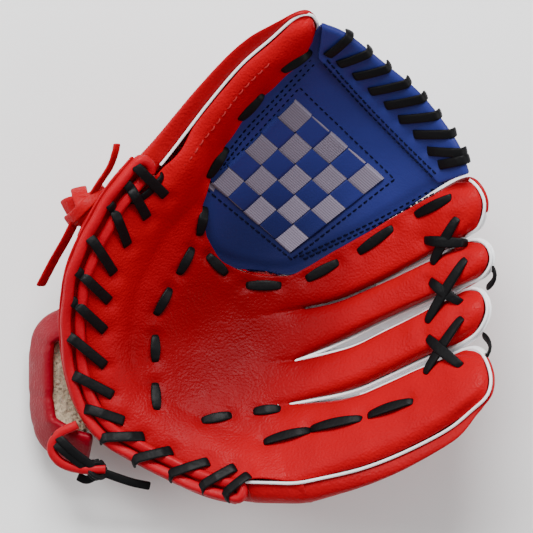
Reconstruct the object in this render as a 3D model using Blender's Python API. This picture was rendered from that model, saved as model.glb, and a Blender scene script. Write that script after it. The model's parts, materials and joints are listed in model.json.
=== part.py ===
"""A left-hand fielder's glove that lies on its back with the pocket facing up.

Every piece is laid out in plan (x along the fingers, y towards the thumb) and then hung on one
bowl-shaped guide surface. A third number, the depth, says how far behind that surface a point lies:
0 is the face of the pocket leather, positive numbers go towards the back of the glove and negative
numbers stand proud of the pocket. Layers with different depths therefore never meet.
All sizes are millimetres until a mesh is made.
"""

import math

import bmesh
import bpy
import numpy as np
from mathutils import Vector

MM = 0.001

# The middle of the glove's box in plan. Every point is moved by it, so that the box stands on the origin.
BOX_CENTRE = Vector((0.5, 2.7, 0.0))

# The hinge line of the glove runs under the pocket, and the tail of the tie swings at its knot.
HINGE_POINT = Vector((-10.0, -11.5, 14.0))
TIE_POINT = Vector((-99.5, 24.0, 67.0))

# The guide bowl: a floor with walls that curl up in five directions.
POCKET = np.array((-10.0, -20.0))
FLOOR_HEIGHT = 29.0
WALLS = {
    "thumb": ((-0.60, 0.80), 0.0070),
    "web": ((0.72, 0.69), 0.0020),
    "fingertips": ((1.0, 0.0), 0.0024),
    "little_finger": ((0.39, -0.92), 0.0038),
    "heel": ((-1.0, 0.0), 0.0026),
}

# Layers of the hand, as depths of their two faces.
LEATHER = (0.0, 2.4)
PAD = (2.9, 5.9)
LINING = (6.4, 7.6)
BACK = (24.0, 32.0)
PIPING_DEPTH = 3.5
PIPING_RADIUS = 0.8
WALL_START = 4.7
WALL_THICK = 1.8
BACK_THICK = 2.8
GAP = 0.5

# Finger stalls: how deep they are at the knuckles and at the tip.
STALL_KNUCKLE = 20.0
STALL_TIP = 6.0
THUMB_KNUCKLE = 19.0
THUMB_TIP = 5.0
FINGER_CROWN = 3.0

# A stall thins out from STALL_START over STALL_LENGTH, and its back starts at BACK_START. The thumb's stall
# is measured along x + y in the same way.
STALL_START = 18.0
STALL_LENGTH = 100.0
STALL_TAPER = 1.3
BACK_START = 33.0
THUMB_START = -60.0
THUMB_LENGTH = 210.0
THUMB_TAPER = 1.4

LACE_RADIUS = 1.2
LACE_DEPTH = -3.2
ROLL_RADIUS = 2.1

# Finger outlines in plan: the side nearer the thumb, the tip, and the side nearer the heel of the hand.
FINGERS = {
    "index": {
        "upper": [(18, -9), (38, 3), (56, 13), (81, 28), (103, 41)],
        "tip": [(113, 38), (117, 28), (114, 18)],
        "lower": [(19, -25.5), (47, -17.5), (63, -9.5), (85, 0.5), (107, 13)],
    },
    "middle": {
        "upper": [(19, -29), (47, -21), (66, -12), (85, -2.5), (108, 9.5)],
        "tip": [(117, 8), (120, 0), (116, -8)],
        "lower": [(18.5, -52), (42, -43), (66, -31), (92, -19), (107, -12)],
    },
    "ring": {
        "upper": [(19.5, -55.5), (47, -47), (66, -38), (85, -28.5), (107, -16)],
        "tip": [(115, -17), (118, -26), (114, -36)],
        "lower": [(16, -75), (47, -68.5), (66, -60.5), (85, -51.5), (106, -42.5)],
    },
    "little": {
        "upper": [(16.5, -78.5), (47, -72), (66, -64.5), (85, -56), (107, -46.5)],
        "tip": [(115, -49), (120, -60), (118, -70)],
        "lower": [(18, -118), (32, -115), (54, -108.5), (75, -100), (97, -88.5), (110, -78)],
    },
}

# The thumb lobe of the palm leather, from the middle of the heel to the thumb's tip.
THUMB_OUTER = [(-94, -29), (-88, -2), (-73, 26), (-52, 50), (-28, 82), (-10, 103), (6, 117), (20, 128),
               (27, 129)]
THUMB_INNER = [(-93, -33.5), (-60, -19.5), (-29, -4), (-28, 9), (-31, 29), (-21, 56), (-8, 76), (10, 95),
               (23, 107), (30, 119)]

# The hinge of the glove runs across the pocket from the middle of the heel to the foot of the web.
HINGE_FINGER_SIDE = [(-94, -51), (-45, -33), (-10, -20), (15, -11.5)]
HINGE_THUMB_SIDE = [(-95, -35.5), (-60, -21.5), (-30, -6), (-20, -2), (-8, -5.5), (4, -8.5), (14, -7)]

HEEL_EDGE = [(-53, 50), (-73, 27), (-89, -3), (-94, -23), (-95, -43), (-93, -62), (-88, -77), (-78, -90),
             (-56, -102.5), (-30, -114.5), (-12, -119)]

WEB_THUMB_EDGE = [(2, -4), (-18, 2), (-26, 12), (-28.5, 29), (-18, 55), (-4.5, 74), (13.5, 92.5),
                  (26, 104.5), (34, 119)]
WEB_INDEX_EDGE = [(4, -5.5), (18, -4), (37, 6), (55, 16), (80, 31), (98, 41), (110, 45.5)]
WEB_TOP_EDGE = [(35, 125), (47, 119), (66, 104), (85, 88), (100, 69), (107, 57), (110.5, 47)]
WEB_BAND_WIDTH = 16.0
CHECKER = {"thumb": (20, 88), "tip": (69, 43), "index": (18, 3), "pocket": (-24, 41)}


def bowl(x, y):
    """Height of the guide surface and the two parts of its slope."""
    height, slope_x, slope_y = FLOOR_HEIGHT, 0.0, 0.0
    for (along_x, along_y), steepness in WALLS.values():
        away = max(0.0, (x - POCKET[0]) * along_x + (y - POCKET[1]) * along_y)
        height += steepness * away * away
        slope_x += 2 * steepness * away * along_x
        slope_y += 2 * steepness * away * along_y
    return height, slope_x, slope_y


def hang(point):
    """The place in space of a point given as plan x, plan y and depth."""
    x, y, depth = (float(value) for value in point)
    height, slope_x, slope_y = bowl(x, y)
    outwards = Vector((slope_x, slope_y, -1.0)).normalized()
    return Vector((x, y, height)) + depth * outwards


def curve(points, count):
    """Evenly spaced points on a smooth line through the given plan points, as an array."""
    p = np.array(points, float)
    if len(p) > 2:
        ends = np.vstack([2 * p[0] - p[1], p, 2 * p[-1] - p[-2]])
        fine = []
        for a, b, c, d in zip(ends, ends[1:], ends[2:], ends[3:]):
            for t in np.linspace(0, 1, 12, endpoint=False):
                fine.append(0.5 * (2 * b + (c - a) * t + (2 * a - 5 * b + 4 * c - d) * t**2
                                   + (3 * b - a - 3 * c + d) * t**3))
        fine.append(p[-1])
        p = np.array(fine)
    along = np.concatenate([[0], np.cumsum(np.linalg.norm(np.diff(p, axis=0), axis=1))])
    at = np.linspace(0, along[-1], count)
    return np.stack([np.interp(at, along, p[:, k]) for k in range(p.shape[1])], axis=1)


def inward(line, side):
    """Unit vectors at right angles to a plan line: side 1 is on its left, -1 on its right."""
    t = np.gradient(line[:, :2], axis=0)
    t /= np.linalg.norm(t, axis=1)[:, None]
    return side * np.stack([-t[:, 1], t[:, 0]], axis=1)


def shifted(points, distance, side, count):
    """A smooth line through the points, moved sideways in plan."""
    line = curve(points, count)
    return line + distance * inward(line, side)


def between(low, high, t):
    return low + (high - low) * t


def ease(t):
    t = min(1.0, max(0.0, t))
    return t * t * (3 - 2 * t)


def patch(bottom, top, left=None, right=None):
    """A plan function of u and v filled in between four edge lines, or between two."""
    bottom, top = (curve(edge, 41) for edge in (bottom, top))
    left = curve(left if left is not None else [bottom[0], top[0]], 41)
    right = curve(right if right is not None else [bottom[-1], top[-1]], 41)

    def at(line, t):
        return np.array([np.interp(t * 40, np.arange(41), line[:, k]) for k in (0, 1)])

    def plan(u, v):
        straight = (between(at(bottom, 0), at(bottom, 1), u) * (1 - v)
                    + between(at(top, 0), at(top, 1), u) * v)
        return between(at(bottom, u), at(top, u), v) + between(at(left, v), at(right, v), u) - straight

    return plan


def material(name, colour, roughness, metallic=0.0):
    made = bpy.data.materials.new(name)
    made.use_nodes = True
    shader = made.node_tree.nodes["Principled BSDF"]
    shader.inputs["Base Color"].default_value = (*colour, 1.0)
    shader.inputs["Roughness"].default_value = roughness
    shader.inputs["Metallic"].default_value = metallic
    return made


def add(name, data, finish):
    made = bpy.data.objects.new(name, data)
    data.materials.append(finish)
    bpy.context.collection.objects.link(made)
    return made


def close_up(name, bm, finish):
    """Turns a closed bmesh into an object with its faces pointing out."""
    bmesh.ops.recalc_face_normals(bm, faces=bm.faces[:])
    if bm.calc_volume(signed=True) < 0:
        bmesh.ops.reverse_faces(bm, faces=bm.faces[:])
    mesh = bpy.data.meshes.new(name)
    bm.to_mesh(mesh)
    bm.free()
    mesh.shade_smooth()
    mesh.set_sharp_from_angle(angle=math.radians(50))
    return add(name, mesh, finish)


def sheet(name, near, far, along, across, finish, floor=None):
    """A closed sheet between two faces. near and far turn (u, v) into plan x, plan y and depth."""
    bm = bmesh.new()
    bmesh.ops.create_grid(bm, x_segments=along, y_segments=across, size=1.0)
    grown = bmesh.ops.extrude_face_region(bm, geom=bm.faces[:])["geom"]
    far_side = {v for v in grown if isinstance(v, bmesh.types.BMVert)}
    for vert in bm.verts:
        u, v = (vert.co.x + 1) / 2, (vert.co.y + 1) / 2
        face = far if vert in far_side else near
        place = hang(face(u, v))
        if floor is not None:
            place.z = max(place.z, floor + (0.0 if vert in far_side else BACK_THICK))
        vert.co = (place - BOX_CENTRE) * MM
    return close_up(name, bm, finish)


def layer(name, plan, depths, along, across, finish, crown=0.0, floor=None):
    """A sheet of even depths over a plan, its front face crowned across the middle."""

    def crowned(u, v):
        swell = (1 - (2 * v - 1) ** 2) * ease(u * 5) * ease((1 - u) * 5)
        return (*plan(u, v), depths[0] - crown * swell)

    return sheet(name, crowned, lambda u, v: (*plan(u, v), depths[1]), along, across, finish, floor)


def tube(name, points, radius, finish, count=24, hung=True):
    """A round cord along a smooth line through points, each plan x, plan y and depth, or x, y, z."""
    line = curve(points, count)
    data = bpy.data.curves.new(name, "CURVE")
    data.dimensions = "3D"
    data.bevel_depth = radius * MM
    data.bevel_resolution = 1
    data.use_fill_caps = True
    spline = data.splines.new("POLY")
    spline.points.add(len(line) - 1)
    for knot, point in zip(spline.points, line):
        place = hang(point) if hung else Vector(point)
        knot.co = (*((place - BOX_CENTRE) * MM), 1.0)
    return add(name, data, finish)


def wall(name, outline, side, depth_at, along, finish, inset=0.8, start=WALL_START):
    """A thin wall that stands behind an outline, from the piping back to depth_at(a)."""
    outer = shifted(outline, inset, side, along + 1)
    inner = shifted(outline, inset + WALL_THICK, side, along + 1)

    def face(line):
        def at(u, v):
            i = min(along, int(round(u * along)))
            return (*line[i], between(start, depth_at(u), v))
        return at

    return sheet(name, face(outer), face(inner), along, 2, finish)


def strip(name, path, width, thick, finish, lean=(0, 0, 1), count=14):
    """A flat strap along a smooth line in space. lean is the direction of its width."""
    line = [Vector(p) for p in curve(path, count)]
    across = Vector(lean).normalized() * width / 2
    bm = bmesh.new()
    rings = []
    for i, point in enumerate(line):
        ahead = line[min(i + 1, count - 1)] - line[max(i - 1, 0)]
        out = ahead.cross(across).normalized() * thick / 2
        corners = (point - across - out, point + across - out, point + across + out, point - across + out)
        rings.append([bm.verts.new((corner - BOX_CENTRE) * MM) for corner in corners])
    for a, b in zip(rings, rings[1:]):
        for k in range(4):
            bm.faces.new((a[k], a[(k + 1) % 4], b[(k + 1) % 4], b[k]))
    bm.faces.new(rings[0])
    bm.faces.new(rings[-1])
    return close_up(name, bm, finish)


def knot(name, centre, size, finish):
    """A lump of knotted lace."""
    bm = bmesh.new()
    bmesh.ops.create_icosphere(bm, subdivisions=2, radius=1.0)
    for vert in bm.verts:
        place = Vector(centre) + Vector([c * s for c, s in zip(vert.co, size)])
        vert.co = (place - BOX_CENTRE) * MM
    return close_up(name, bm, finish)


def make_finger(name, shape, finishes):
    """The four pieces of one finger stall: front, piping, side walls and back."""
    tip = [shape["upper"][-1], *shape["tip"], shape["lower"][-1]]
    layer(f"{name}_front", patch(shape["upper"], shape["lower"], right=tip), LEATHER, 10, 4,
          finishes["red"], crown=FINGER_CROWN)
    outline = [*shape["upper"], *shape["tip"], *shape["lower"][::-1]]
    tube(f"{name}_piping", [(*p, PIPING_DEPTH) for p in curve(outline, 40)], PIPING_RADIUS,
         finishes["white"], count=26)

    def stall(x):
        along = max(0.0, (x - STALL_START) / STALL_LENGTH)
        return between(STALL_KNUCKLE, STALL_TIP, along**STALL_TAPER)

    steps = 22
    reach = curve(outline, steps + 1)[:, 0]
    wall(f"{name}_gusset", outline, -1, lambda a: stall(np.interp(a * steps, range(steps + 1), reach)) - GAP,
         steps, finishes["white"])
    upper = [p for p in curve(shape["upper"], 30) if p[0] > BACK_START]
    lower = [p for p in curve(shape["lower"], 30) if p[0] > BACK_START]
    back = patch(upper, lower, right=tip)

    def near(u, v):
        x, y = back(u, v)
        return x, y, stall(x)

    def far(u, v):
        x, y = back(u, v)
        swell = (1 - (2 * v - 1) ** 2) * between(5.0, 1.0, u)
        return x, y, stall(x) + BACK_THICK + swell

    sheet(f"{name}_back", near, far, 8, 5, finishes["red"])


def make_fingers(finishes):
    for name, shape in FINGERS.items():
        make_finger(name, shape, finishes)
    stiff = patch([(24, -84), (60, -73), (92, -59)], [(24, -108), (60, -98), (92, -83)])
    layer("little_stiffener", stiff, (4.9, 6.4), 6, 2, finishes["plastic"])


def make_palm(finishes):
    """The palm leather on the finger side of the hinge, with its pad and lining."""
    heel = [(-93.5, -53), (-93, -62), (-88, -77), (-78, -90)]
    knuckles = [(17, -12.5), (17.5, -27), (16.5, -54), (14, -76.5), (16, -118)]
    little_side = [(-78, -90), (-56, -102.5), (-30, -114.5), (-12, -118.5), (16, -118)]
    palm = patch([(-93.5, -53), (-45, -34.5), (-10, -21.5), (17, -12.5)], little_side, heel, knuckles)
    layer("palm_leather", palm, LEATHER, 12, 8, finishes["red"])
    inner = patch([(-86, -56), (-45, -39), (-10, -26), (12, -18)],
                  [(-72, -85), (-52, -95), (-28, -106), (-10, -110), (10, -110)])
    layer("little_heel_pad", inner, PAD, 8, 5, finishes["felt"])
    layer("palm_lining", inner, LINING, 8, 5, finishes["lining"])


def make_thumb(finishes):
    tip = [THUMB_INNER[-1], (31, 124), THUMB_OUTER[-1]]
    lobe = patch(THUMB_INNER, THUMB_OUTER, right=tip)
    layer("thumb_front", lobe, LEATHER, 18, 6, finishes["red"])
    pad = patch([(-80, -22), (-58, -13), (-38, -2), (-38, 22)], [(-82, -8), (-76, 12), (-60, 34), (-42, 52)])
    layer("thumb_heel_pad", pad, PAD, 6, 4, finishes["felt"])
    layer("thumb_lining", pad, LINING, 6, 4, finishes["lining"])
    stiff = patch([(-25, 58), (-12, 77)], [(-32, 63), (-19, 82)])
    layer("thumb_stiffener", stiff, (4.9, 6.4), 6, 2, finishes["plastic"])

    edge = [*THUMB_OUTER[1:], (31, 124), *THUMB_INNER[:3:-1]]
    tube("thumb_piping", [(*p, PIPING_DEPTH) for p in curve([*THUMB_OUTER[3:], (31, 124), (30, 119)], 40)],
         PIPING_RADIUS, finishes["white"], count=22)

    def stall(x, y):
        along = max(0.0, (x + y - THUMB_START) / THUMB_LENGTH)
        return between(THUMB_KNUCKLE, THUMB_TIP, min(1.0, along) ** THUMB_TAPER)

    steps = 30
    line = curve(edge, steps + 1)
    wall("thumb_gusset", edge, -1,
         lambda a: stall(*(np.interp(a * steps, range(steps + 1), line[:, k]) for k in (0, 1))) - GAP,
         steps, finishes["red"])

    back = patch([(-62, -27), (-36, -15.5), (-27, -6), (-29, 9), (-31, 29), (-21, 56), (-8, 76), (10, 95),
                  (23, 107), (30, 118)],
                 [(-80, 14), (-73, 26), (-52, 50), (-28, 82), (-10, 103), (6, 117), (20, 128), (27, 129)],
                 right=tip)

    def near(u, v):
        x, y = back(u, v)
        depth = stall(x, y)
        return x, y, depth + (BACK[0] - depth) * (1 - ease(v)) * (1 - ease(u * 2.2))

    def far(u, v):
        x, y, depth = near(u, v)
        swell = (1 - (2 * v - 1) ** 2) * between(2.0, 1.0, u)
        spread = (BACK[1] - BACK[0] - BACK_THICK) * (1 - ease(v)) * (1 - ease(u * 2.2))
        return x, y, depth + BACK_THICK + swell + spread

    sheet("thumb_back", near, far, 16, 6, finishes["red"], floor=0.0)


def make_hinge(finishes):
    """The soft strip across the pocket that creases as the glove closes, and the one on its back."""
    crease = patch(HINGE_FINGER_SIDE, HINGE_THUMB_SIDE)
    layer("palm_crease", crease, LEATHER, 14, 3, finishes["red"])
    behind = patch([(-62, -39.5), (-10, -20.5), (20, -9.5)],
                   [(-61, -28.5), (-36, -17), (-24, -8), (-4, -4), (12, -1)])
    layer("back_crease", behind, BACK, 8, 3, finishes["red"], floor=0.0)


def make_back(finishes):
    plan = patch([(-63, -41.5), (-10, -22), (30, -8)], [(-58, -98), (-30, -110), (-12, -113.5), (30, -111)],
                 [(-63, -41.5), (-66, -70), (-58, -98)], [(30, -8), (31, -60), (30, -111)])
    layer("hand_back", plan, BACK, 10, 8, finishes["red"], floor=0.0)
    side = [(-62, -100), (-50, -106), (-30, -114.5), (-12, -118.5), (14, -118)]
    wall("little_side_wall", side, 1, lambda a: 23.0, 12, finishes["red"])


def make_web(finishes):
    top_inner = shifted(WEB_TOP_EDGE, WEB_BAND_WIDTH, -1, 20)
    panel = patch(WEB_THUMB_EDGE, WEB_INDEX_EDGE, right=WEB_TOP_EDGE)
    layer("web_panel", panel, (0.9, 2.7), 14, 10, finishes["blue"])
    band = patch([p for p in curve(WEB_TOP_EDGE, 20)][1:-1], list(top_inner)[1:-1])
    layer("web_top_band", band, (-1.3, 0.4), 12, 2, finishes["blue"])
    weave = patch([CHECKER["pocket"], CHECKER["thumb"]], [CHECKER["index"], CHECKER["tip"]])
    layer("web_weave", weave, (-1.1, 0.4), 6, 6, finishes["grey"])
    zigzag = []
    for i, (edge, hole) in enumerate(zip(curve(WEB_TOP_EDGE, 22)[2:-2], top_inner[1:])):
        zigzag.append((*(edge if i % 2 else hole), LACE_DEPTH))
    tube("web_lace", zigzag, LACE_RADIUS, finishes["black"], count=40)


def make_heel(finishes):
    """The two rolled bindings along the heel and the lace that is wound round them."""
    edge = curve(HEEL_EDGE, 60)
    out = inward(edge, -1)
    for side, low, high in (("thumb", 0, 25), ("little", 26, 60)):
        for kind, reach, depth in (("inner", 2.4, 1.0), ("outer", 7.0, 3.6)):
            line = edge[low:high] + reach * out[low:high]
            tube(f"{side}_heel_{kind}_roll", [(*p, depth) for p in line], ROLL_RADIUS, finishes["red"],
                 count=14)
        zigzag = []
        for k, i in enumerate(range(low + 2, high - 1, 2)):
            reach = 6.0 if k % 2 else -15.0
            zigzag.append((*(edge[i] + reach * out[i]), LACE_DEPTH))
        tube(f"{side}_heel_lace", zigzag, LACE_RADIUS, finishes["black"], count=36)


def make_laces(finishes):
    black = finishes["black"]
    tube("thumb_web_lace", [(27, 113, -2), (14, 101, -2), (-6, 82, -2), (-23, 56, -2), (-34, 28, -2)],
         LACE_RADIUS, black)
    tube("index_web_lace", [(25, -12, -3.4), (42, -2, -4), (54, 5, -4.4), (72, 17, -4.4), (84, 24, -4.4),
                            (103, 34, -4)], LACE_RADIUS, black)
    tube("thumb_palm_lace", [(-37, 6, -2), (-44, -7, -2)], LACE_RADIUS, black, count=4)
    tube("pocket_lace", [(-28, 0, -2), (-18, -8, -2), (-7, -13.5, -2), (10, -13.5, -2)], LACE_RADIUS, black,
         count=12)
    tube("palm_lace", [(-57, -52, -2), (-57, -68, -2), (-55, -81, -2), (-45, -88, -2), (-31, -87, -2),
                       (-15, -84, -2), (8, -81, -2)], LACE_RADIUS, black)
    tube("little_lace", [(3, -98.5, -2.4), (22, -94, -4.4), (54, -86, -5.2), (82, -76, -5.2)],
         LACE_RADIUS, black)
    crossings = ((106, 22, 94, -2, 90, 13, 108, 12), (110, 0, 91, -32, 92, -13, 108, -22),
                 (108, -31, 90, -60, 92, -42, 106, -54))
    for number, (ax, ay, bx, by, cx, cy, dx, dy) in enumerate(crossings, 1):
        path = [(ax, ay, -4.9), ((ax + bx) / 2, (ay + by) / 2, -4.2), (bx, by, -4.9), (cx, cy, -7.0),
                ((cx + dx) / 2, (cy + dy) / 2, -7.6), (dx, dy, -7.0)]
        tube(f"tip_lace_{number}", path, LACE_RADIUS, black, count=18)


def make_wrist(finishes):
    """The strap behind the wrist, its fleece, the loop it hangs in and the ties."""
    ring = [(-88, 2, 38), (-93, -13, 32), (-102, -28, 27), (-113, -42, 23), (-118, -60, 21),
            (-119, -76, 21), (-115, -91, 24), (-105, -101, 28), (-92, -105, 32)]
    strip("wrist_strap", ring, 30, 3.0, finishes["red"], lean=(0.35, 0.1, 1))
    inner = [(-84, -18, 30), (-98, -32, 26), (-107, -46, 24), (-111, -62, 22), (-112, -76, 22),
             (-108, -88, 25), (-99, -96, 28)]
    strip("strap_fleece", inner, 26, 6.0, finishes["fleece"], lean=(0.35, 0.1, 1))
    tube("little_loop", [(-99, -89, 46), (-109, -94, 45), (-113, -102, 43), (-108, -109.5, 42),
                         (-97, -113, 41), (-84, -113, 40)], 2.4, finishes["red"], count=16, hung=False)
    knot("lace_knot", (-88, -118, 33), (6, 4, 3.5), finishes["black"])
    strip("lace_tail", [(-81, -119, 33), (-72, -121.5, 33), (-60, -123.5, 33)], 5, 1.6, finishes["black"],
          lean=(0, 0.6, 1), count=6)
    knot("tie_knot", (-95, 28.5, 69), (8, 8, 5), finishes["red"])
    strip("tie_tail", [(-101, 20.5, 67), (-108, 3, 60), (-116, -14, 53)], 7, 1.8, finishes["red"],
          lean=(1, -0.4, 0.2), count=7)
    strip("tie_loop", [(-90.5, 37, 72), (-83, 48, 77), (-80, 61, 82)], 6, 1.8, finishes["red"],
          lean=(1, -0.1, 0.4), count=6)


def hang_on(name, point, nodes):
    """An empty on a joint's axis that carries the pieces whose names start as given."""
    pivot = bpy.data.objects.new(name, None)
    pivot.location = (point - BOX_CENTRE) * MM
    bpy.context.collection.objects.link(pivot)
    bpy.context.view_layer.update()
    for piece in bpy.data.objects:
        if piece.type != "EMPTY" and piece.name.startswith(nodes):
            piece.parent = pivot
            piece.matrix_parent_inverse = pivot.matrix_world.inverted()


def main():
    for old in list(bpy.data.objects):
        bpy.data.objects.remove(old)
    finishes = {
        "red": material("red_leather", (0.72, 0.008, 0.012), 0.42),
        "white": material("white_leather", (0.86, 0.86, 0.88), 0.45),
        "blue": material("blue_leather", (0.014, 0.035, 0.26), 0.38),
        "grey": material("grey_ribbon", (0.25, 0.22, 0.29), 0.8),
        "black": material("black_lace", (0.012, 0.012, 0.013), 0.5),
        "felt": material("felt_pad", (0.55, 0.52, 0.46), 0.95),
        "lining": material("lining_cloth", (0.5, 0.02, 0.02), 0.9),
        "fleece": material("fleece", (0.55, 0.44, 0.3), 0.98),
        "plastic": material("stiffener_plastic", (0.08, 0.08, 0.08), 0.5),
    }
    make_palm(finishes)
    make_fingers(finishes)
    make_thumb(finishes)
    make_hinge(finishes)
    make_back(finishes)
    make_web(finishes)
    make_heel(finishes)
    make_laces(finishes)
    make_wrist(finishes)
    hang_on("thumb_hinge", HINGE_POINT, ("thumb_", "tie_knot", "tie_loop"))
    hang_on("tie_swing", TIE_POINT, ("tie_tail",))


main()
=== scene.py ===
# %% [markdown]
# # A left-hand fielder's glove
# The glove lies on its back with the pocket facing up. The first cell loads the frame: the solids that
# were designed first, which hold every size, joint and resting face. The lesson dresses that frame: it
# hides the plain solids and puts finished pieces in the same places.

# %% Load the frame
import json
import math

import bpy
import numpy as np
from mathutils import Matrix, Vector, noise
from mathutils.bvhtree import BVHTree


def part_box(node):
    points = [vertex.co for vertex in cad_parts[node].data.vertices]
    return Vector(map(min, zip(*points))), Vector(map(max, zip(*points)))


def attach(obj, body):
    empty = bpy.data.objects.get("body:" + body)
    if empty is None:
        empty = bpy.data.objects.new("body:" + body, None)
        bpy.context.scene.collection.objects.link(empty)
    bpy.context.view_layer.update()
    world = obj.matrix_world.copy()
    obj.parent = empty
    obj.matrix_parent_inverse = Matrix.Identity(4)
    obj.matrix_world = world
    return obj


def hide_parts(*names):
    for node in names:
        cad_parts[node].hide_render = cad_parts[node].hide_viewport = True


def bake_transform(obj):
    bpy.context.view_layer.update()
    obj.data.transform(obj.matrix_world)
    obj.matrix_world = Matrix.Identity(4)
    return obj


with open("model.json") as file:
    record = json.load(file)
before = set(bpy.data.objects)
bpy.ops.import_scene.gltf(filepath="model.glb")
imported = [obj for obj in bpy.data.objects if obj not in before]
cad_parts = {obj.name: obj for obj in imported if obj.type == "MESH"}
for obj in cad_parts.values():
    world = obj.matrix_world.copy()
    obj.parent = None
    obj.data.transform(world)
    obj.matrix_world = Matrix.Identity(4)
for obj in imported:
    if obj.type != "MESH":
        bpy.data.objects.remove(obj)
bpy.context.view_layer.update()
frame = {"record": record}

MM = 0.001

# %% [markdown]
# ## The guide bowl
# A glove is a stack of leather layers that all follow one curved surface, the face of the pocket. It
# could be sculpted by hand, but then every lace, stitch and seam would have to be fitted to it by eye.
# Instead the bowl is a small formula: a floor with five walls that curl up, towards the thumb, the web,
# the fingertips, the little finger and the heel. A point is given in plan, as seen from above, with a
# depth behind the surface, and hang() says where that is in space. The solids were made the same way.

# %% The guide bowl
POCKET = np.array((-10.0, -20.0))
FLOOR_HEIGHT = 29.0
WALLS = {
    "thumb": ((-0.60, 0.80), 0.0070),
    "web": ((0.72, 0.69), 0.0020),
    "fingertips": ((1.0, 0.0), 0.0024),
    "little_finger": ((0.39, -0.92), 0.0038),
    "heel": ((-1.0, 0.0), 0.0026),
}
BOX_CENTRE = np.array((0.5, 2.7, 0.0))


def hang(x, y, depth):
    """Places in metres of points in plan millimetres and depth."""
    x, y, depth = np.broadcast_arrays(*(np.asarray(value, float) for value in (x, y, depth)))
    height, slope_x, slope_y = np.full(x.shape, FLOOR_HEIGHT), np.zeros(x.shape), np.zeros(x.shape)
    for (along_x, along_y), steepness in WALLS.values():
        away = np.maximum(0.0, (x - POCKET[0]) * along_x + (y - POCKET[1]) * along_y)
        height = height + steepness * away**2
        slope_x = slope_x + 2 * steepness * away * along_x
        slope_y = slope_y + 2 * steepness * away * along_y
    size = np.sqrt(1 + slope_x**2 + slope_y**2)
    place = np.stack([x + depth * slope_x / size, y + depth * slope_y / size, height - depth / size], axis=-1)
    return (place - BOX_CENTRE) * MM


def lay(plan, depth):
    """hang() for an array of plan points."""
    return hang(plan[..., 0], plan[..., 1], depth)


def curve(points, count):
    """Evenly spaced points on a smooth line through the given points."""
    p = np.array(points, float)
    if len(p) > 2:
        ends = np.vstack([2 * p[0] - p[1], p, 2 * p[-1] - p[-2]])
        t = np.linspace(0, 1, 16, endpoint=False)[:, None]
        fine = [0.5 * (2 * b + (c - a) * t + (2 * a - 5 * b + 4 * c - d) * t**2
                       + (3 * b - a - 3 * c + d) * t**3)
                for a, b, c, d in zip(ends, ends[1:], ends[2:], ends[3:])]
        p = np.vstack([*fine, p[-1:]])
    along = np.concatenate([[0], np.cumsum(np.linalg.norm(np.diff(p, axis=0), axis=1))])
    at = np.linspace(0, along[-1], count)
    return np.stack([np.interp(at, along, p[:, k]) for k in range(p.shape[1])], axis=1)


def ease(t):
    t = np.clip(t, 0.0, 1.0)
    return t * t * (3 - 2 * t)


def patch(bottom, top, left, right, nu, nv):
    """Plan points filled in between four edge lines, as an array of nu + 1 by nv + 1 points."""
    bottom, top = curve(bottom, nu + 1), curve(top, nu + 1)
    left, right = curve(left, nv + 1), curve(right, nv + 1)
    u = np.linspace(0, 1, nu + 1)[:, None, None]
    v = np.linspace(0, 1, nv + 1)[None, :, None]
    flat = ((1 - u) * (1 - v) * bottom[0] + u * (1 - v) * bottom[-1] + (1 - u) * v * top[0] + u * v * top[-1])
    return ((1 - v) * bottom[:, None] + v * top[:, None] + (1 - u) * left[None] + u * right[None] - flat)


low, high = (np.array(corner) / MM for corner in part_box("palm_leather"))
print("palm leather in the frame spans", low.round(1), high.round(1))
print("hang() puts the pocket's floor at", (hang(*POCKET, 0) / MM).round(1))

# %% [markdown]
# ## Helpers for pieces
# An operator works on what is selected, so it is safest to deselect everything and pick one piece each
# time. These short helpers do that for modifiers, edit-mode operators and joining.

# %% Helpers: selection and modifiers
def only(piece):
    """Makes one piece the selected and active one."""
    bpy.ops.object.select_all(action="DESELECT")
    piece.select_set(True)
    bpy.context.view_layer.objects.active = piece
    return piece


def apply_modifier(piece, kind, **settings):
    only(piece)
    bpy.ops.object.modifier_add(type=kind)
    modifier = piece.modifiers[-1]
    for key, value in settings.items():
        setattr(modifier, key, value)
    bpy.ops.object.modifier_apply(modifier=modifier.name)


def edit_mesh(piece, operator, **settings):
    """Runs one edit-mode operator on the whole of a mesh."""
    only(piece)
    bpy.ops.object.mode_set(mode="EDIT")
    bpy.ops.mesh.select_all(action="SELECT")
    operator(**settings)
    bpy.ops.object.mode_set(mode="OBJECT")


def points_of(piece):
    co = np.empty(len(piece.data.vertices) * 3)
    piece.data.vertices.foreach_get("co", co)
    return co.reshape(-1, 3)


def smooth(piece, angle=40):
    only(piece)
    bpy.ops.object.shade_smooth_by_angle(angle=math.radians(angle))


def subdivide(piece, levels=1):
    apply_modifier(piece, "SUBSURF", levels=levels, render_levels=levels)


def joined(name, parts):
    """Joins parts into one named piece."""
    bpy.ops.object.select_all(action="DESELECT")
    for part in parts:
        part.select_set(True)
    bpy.context.view_layer.objects.active = parts[0]
    if len(parts) > 1:
        bpy.ops.object.join()
    parts[0].name = name
    parts[0].data.name = name
    return parts[0]


# %% [markdown]
# ## Helpers for sheets
# A sheet of leather could be cut from a plane by hand. Here it starts as a grid primitive whose points are
# laid on the bowl, and gets its thickness from a Solidify modifier, so that thirty sheets are made alike.

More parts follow.
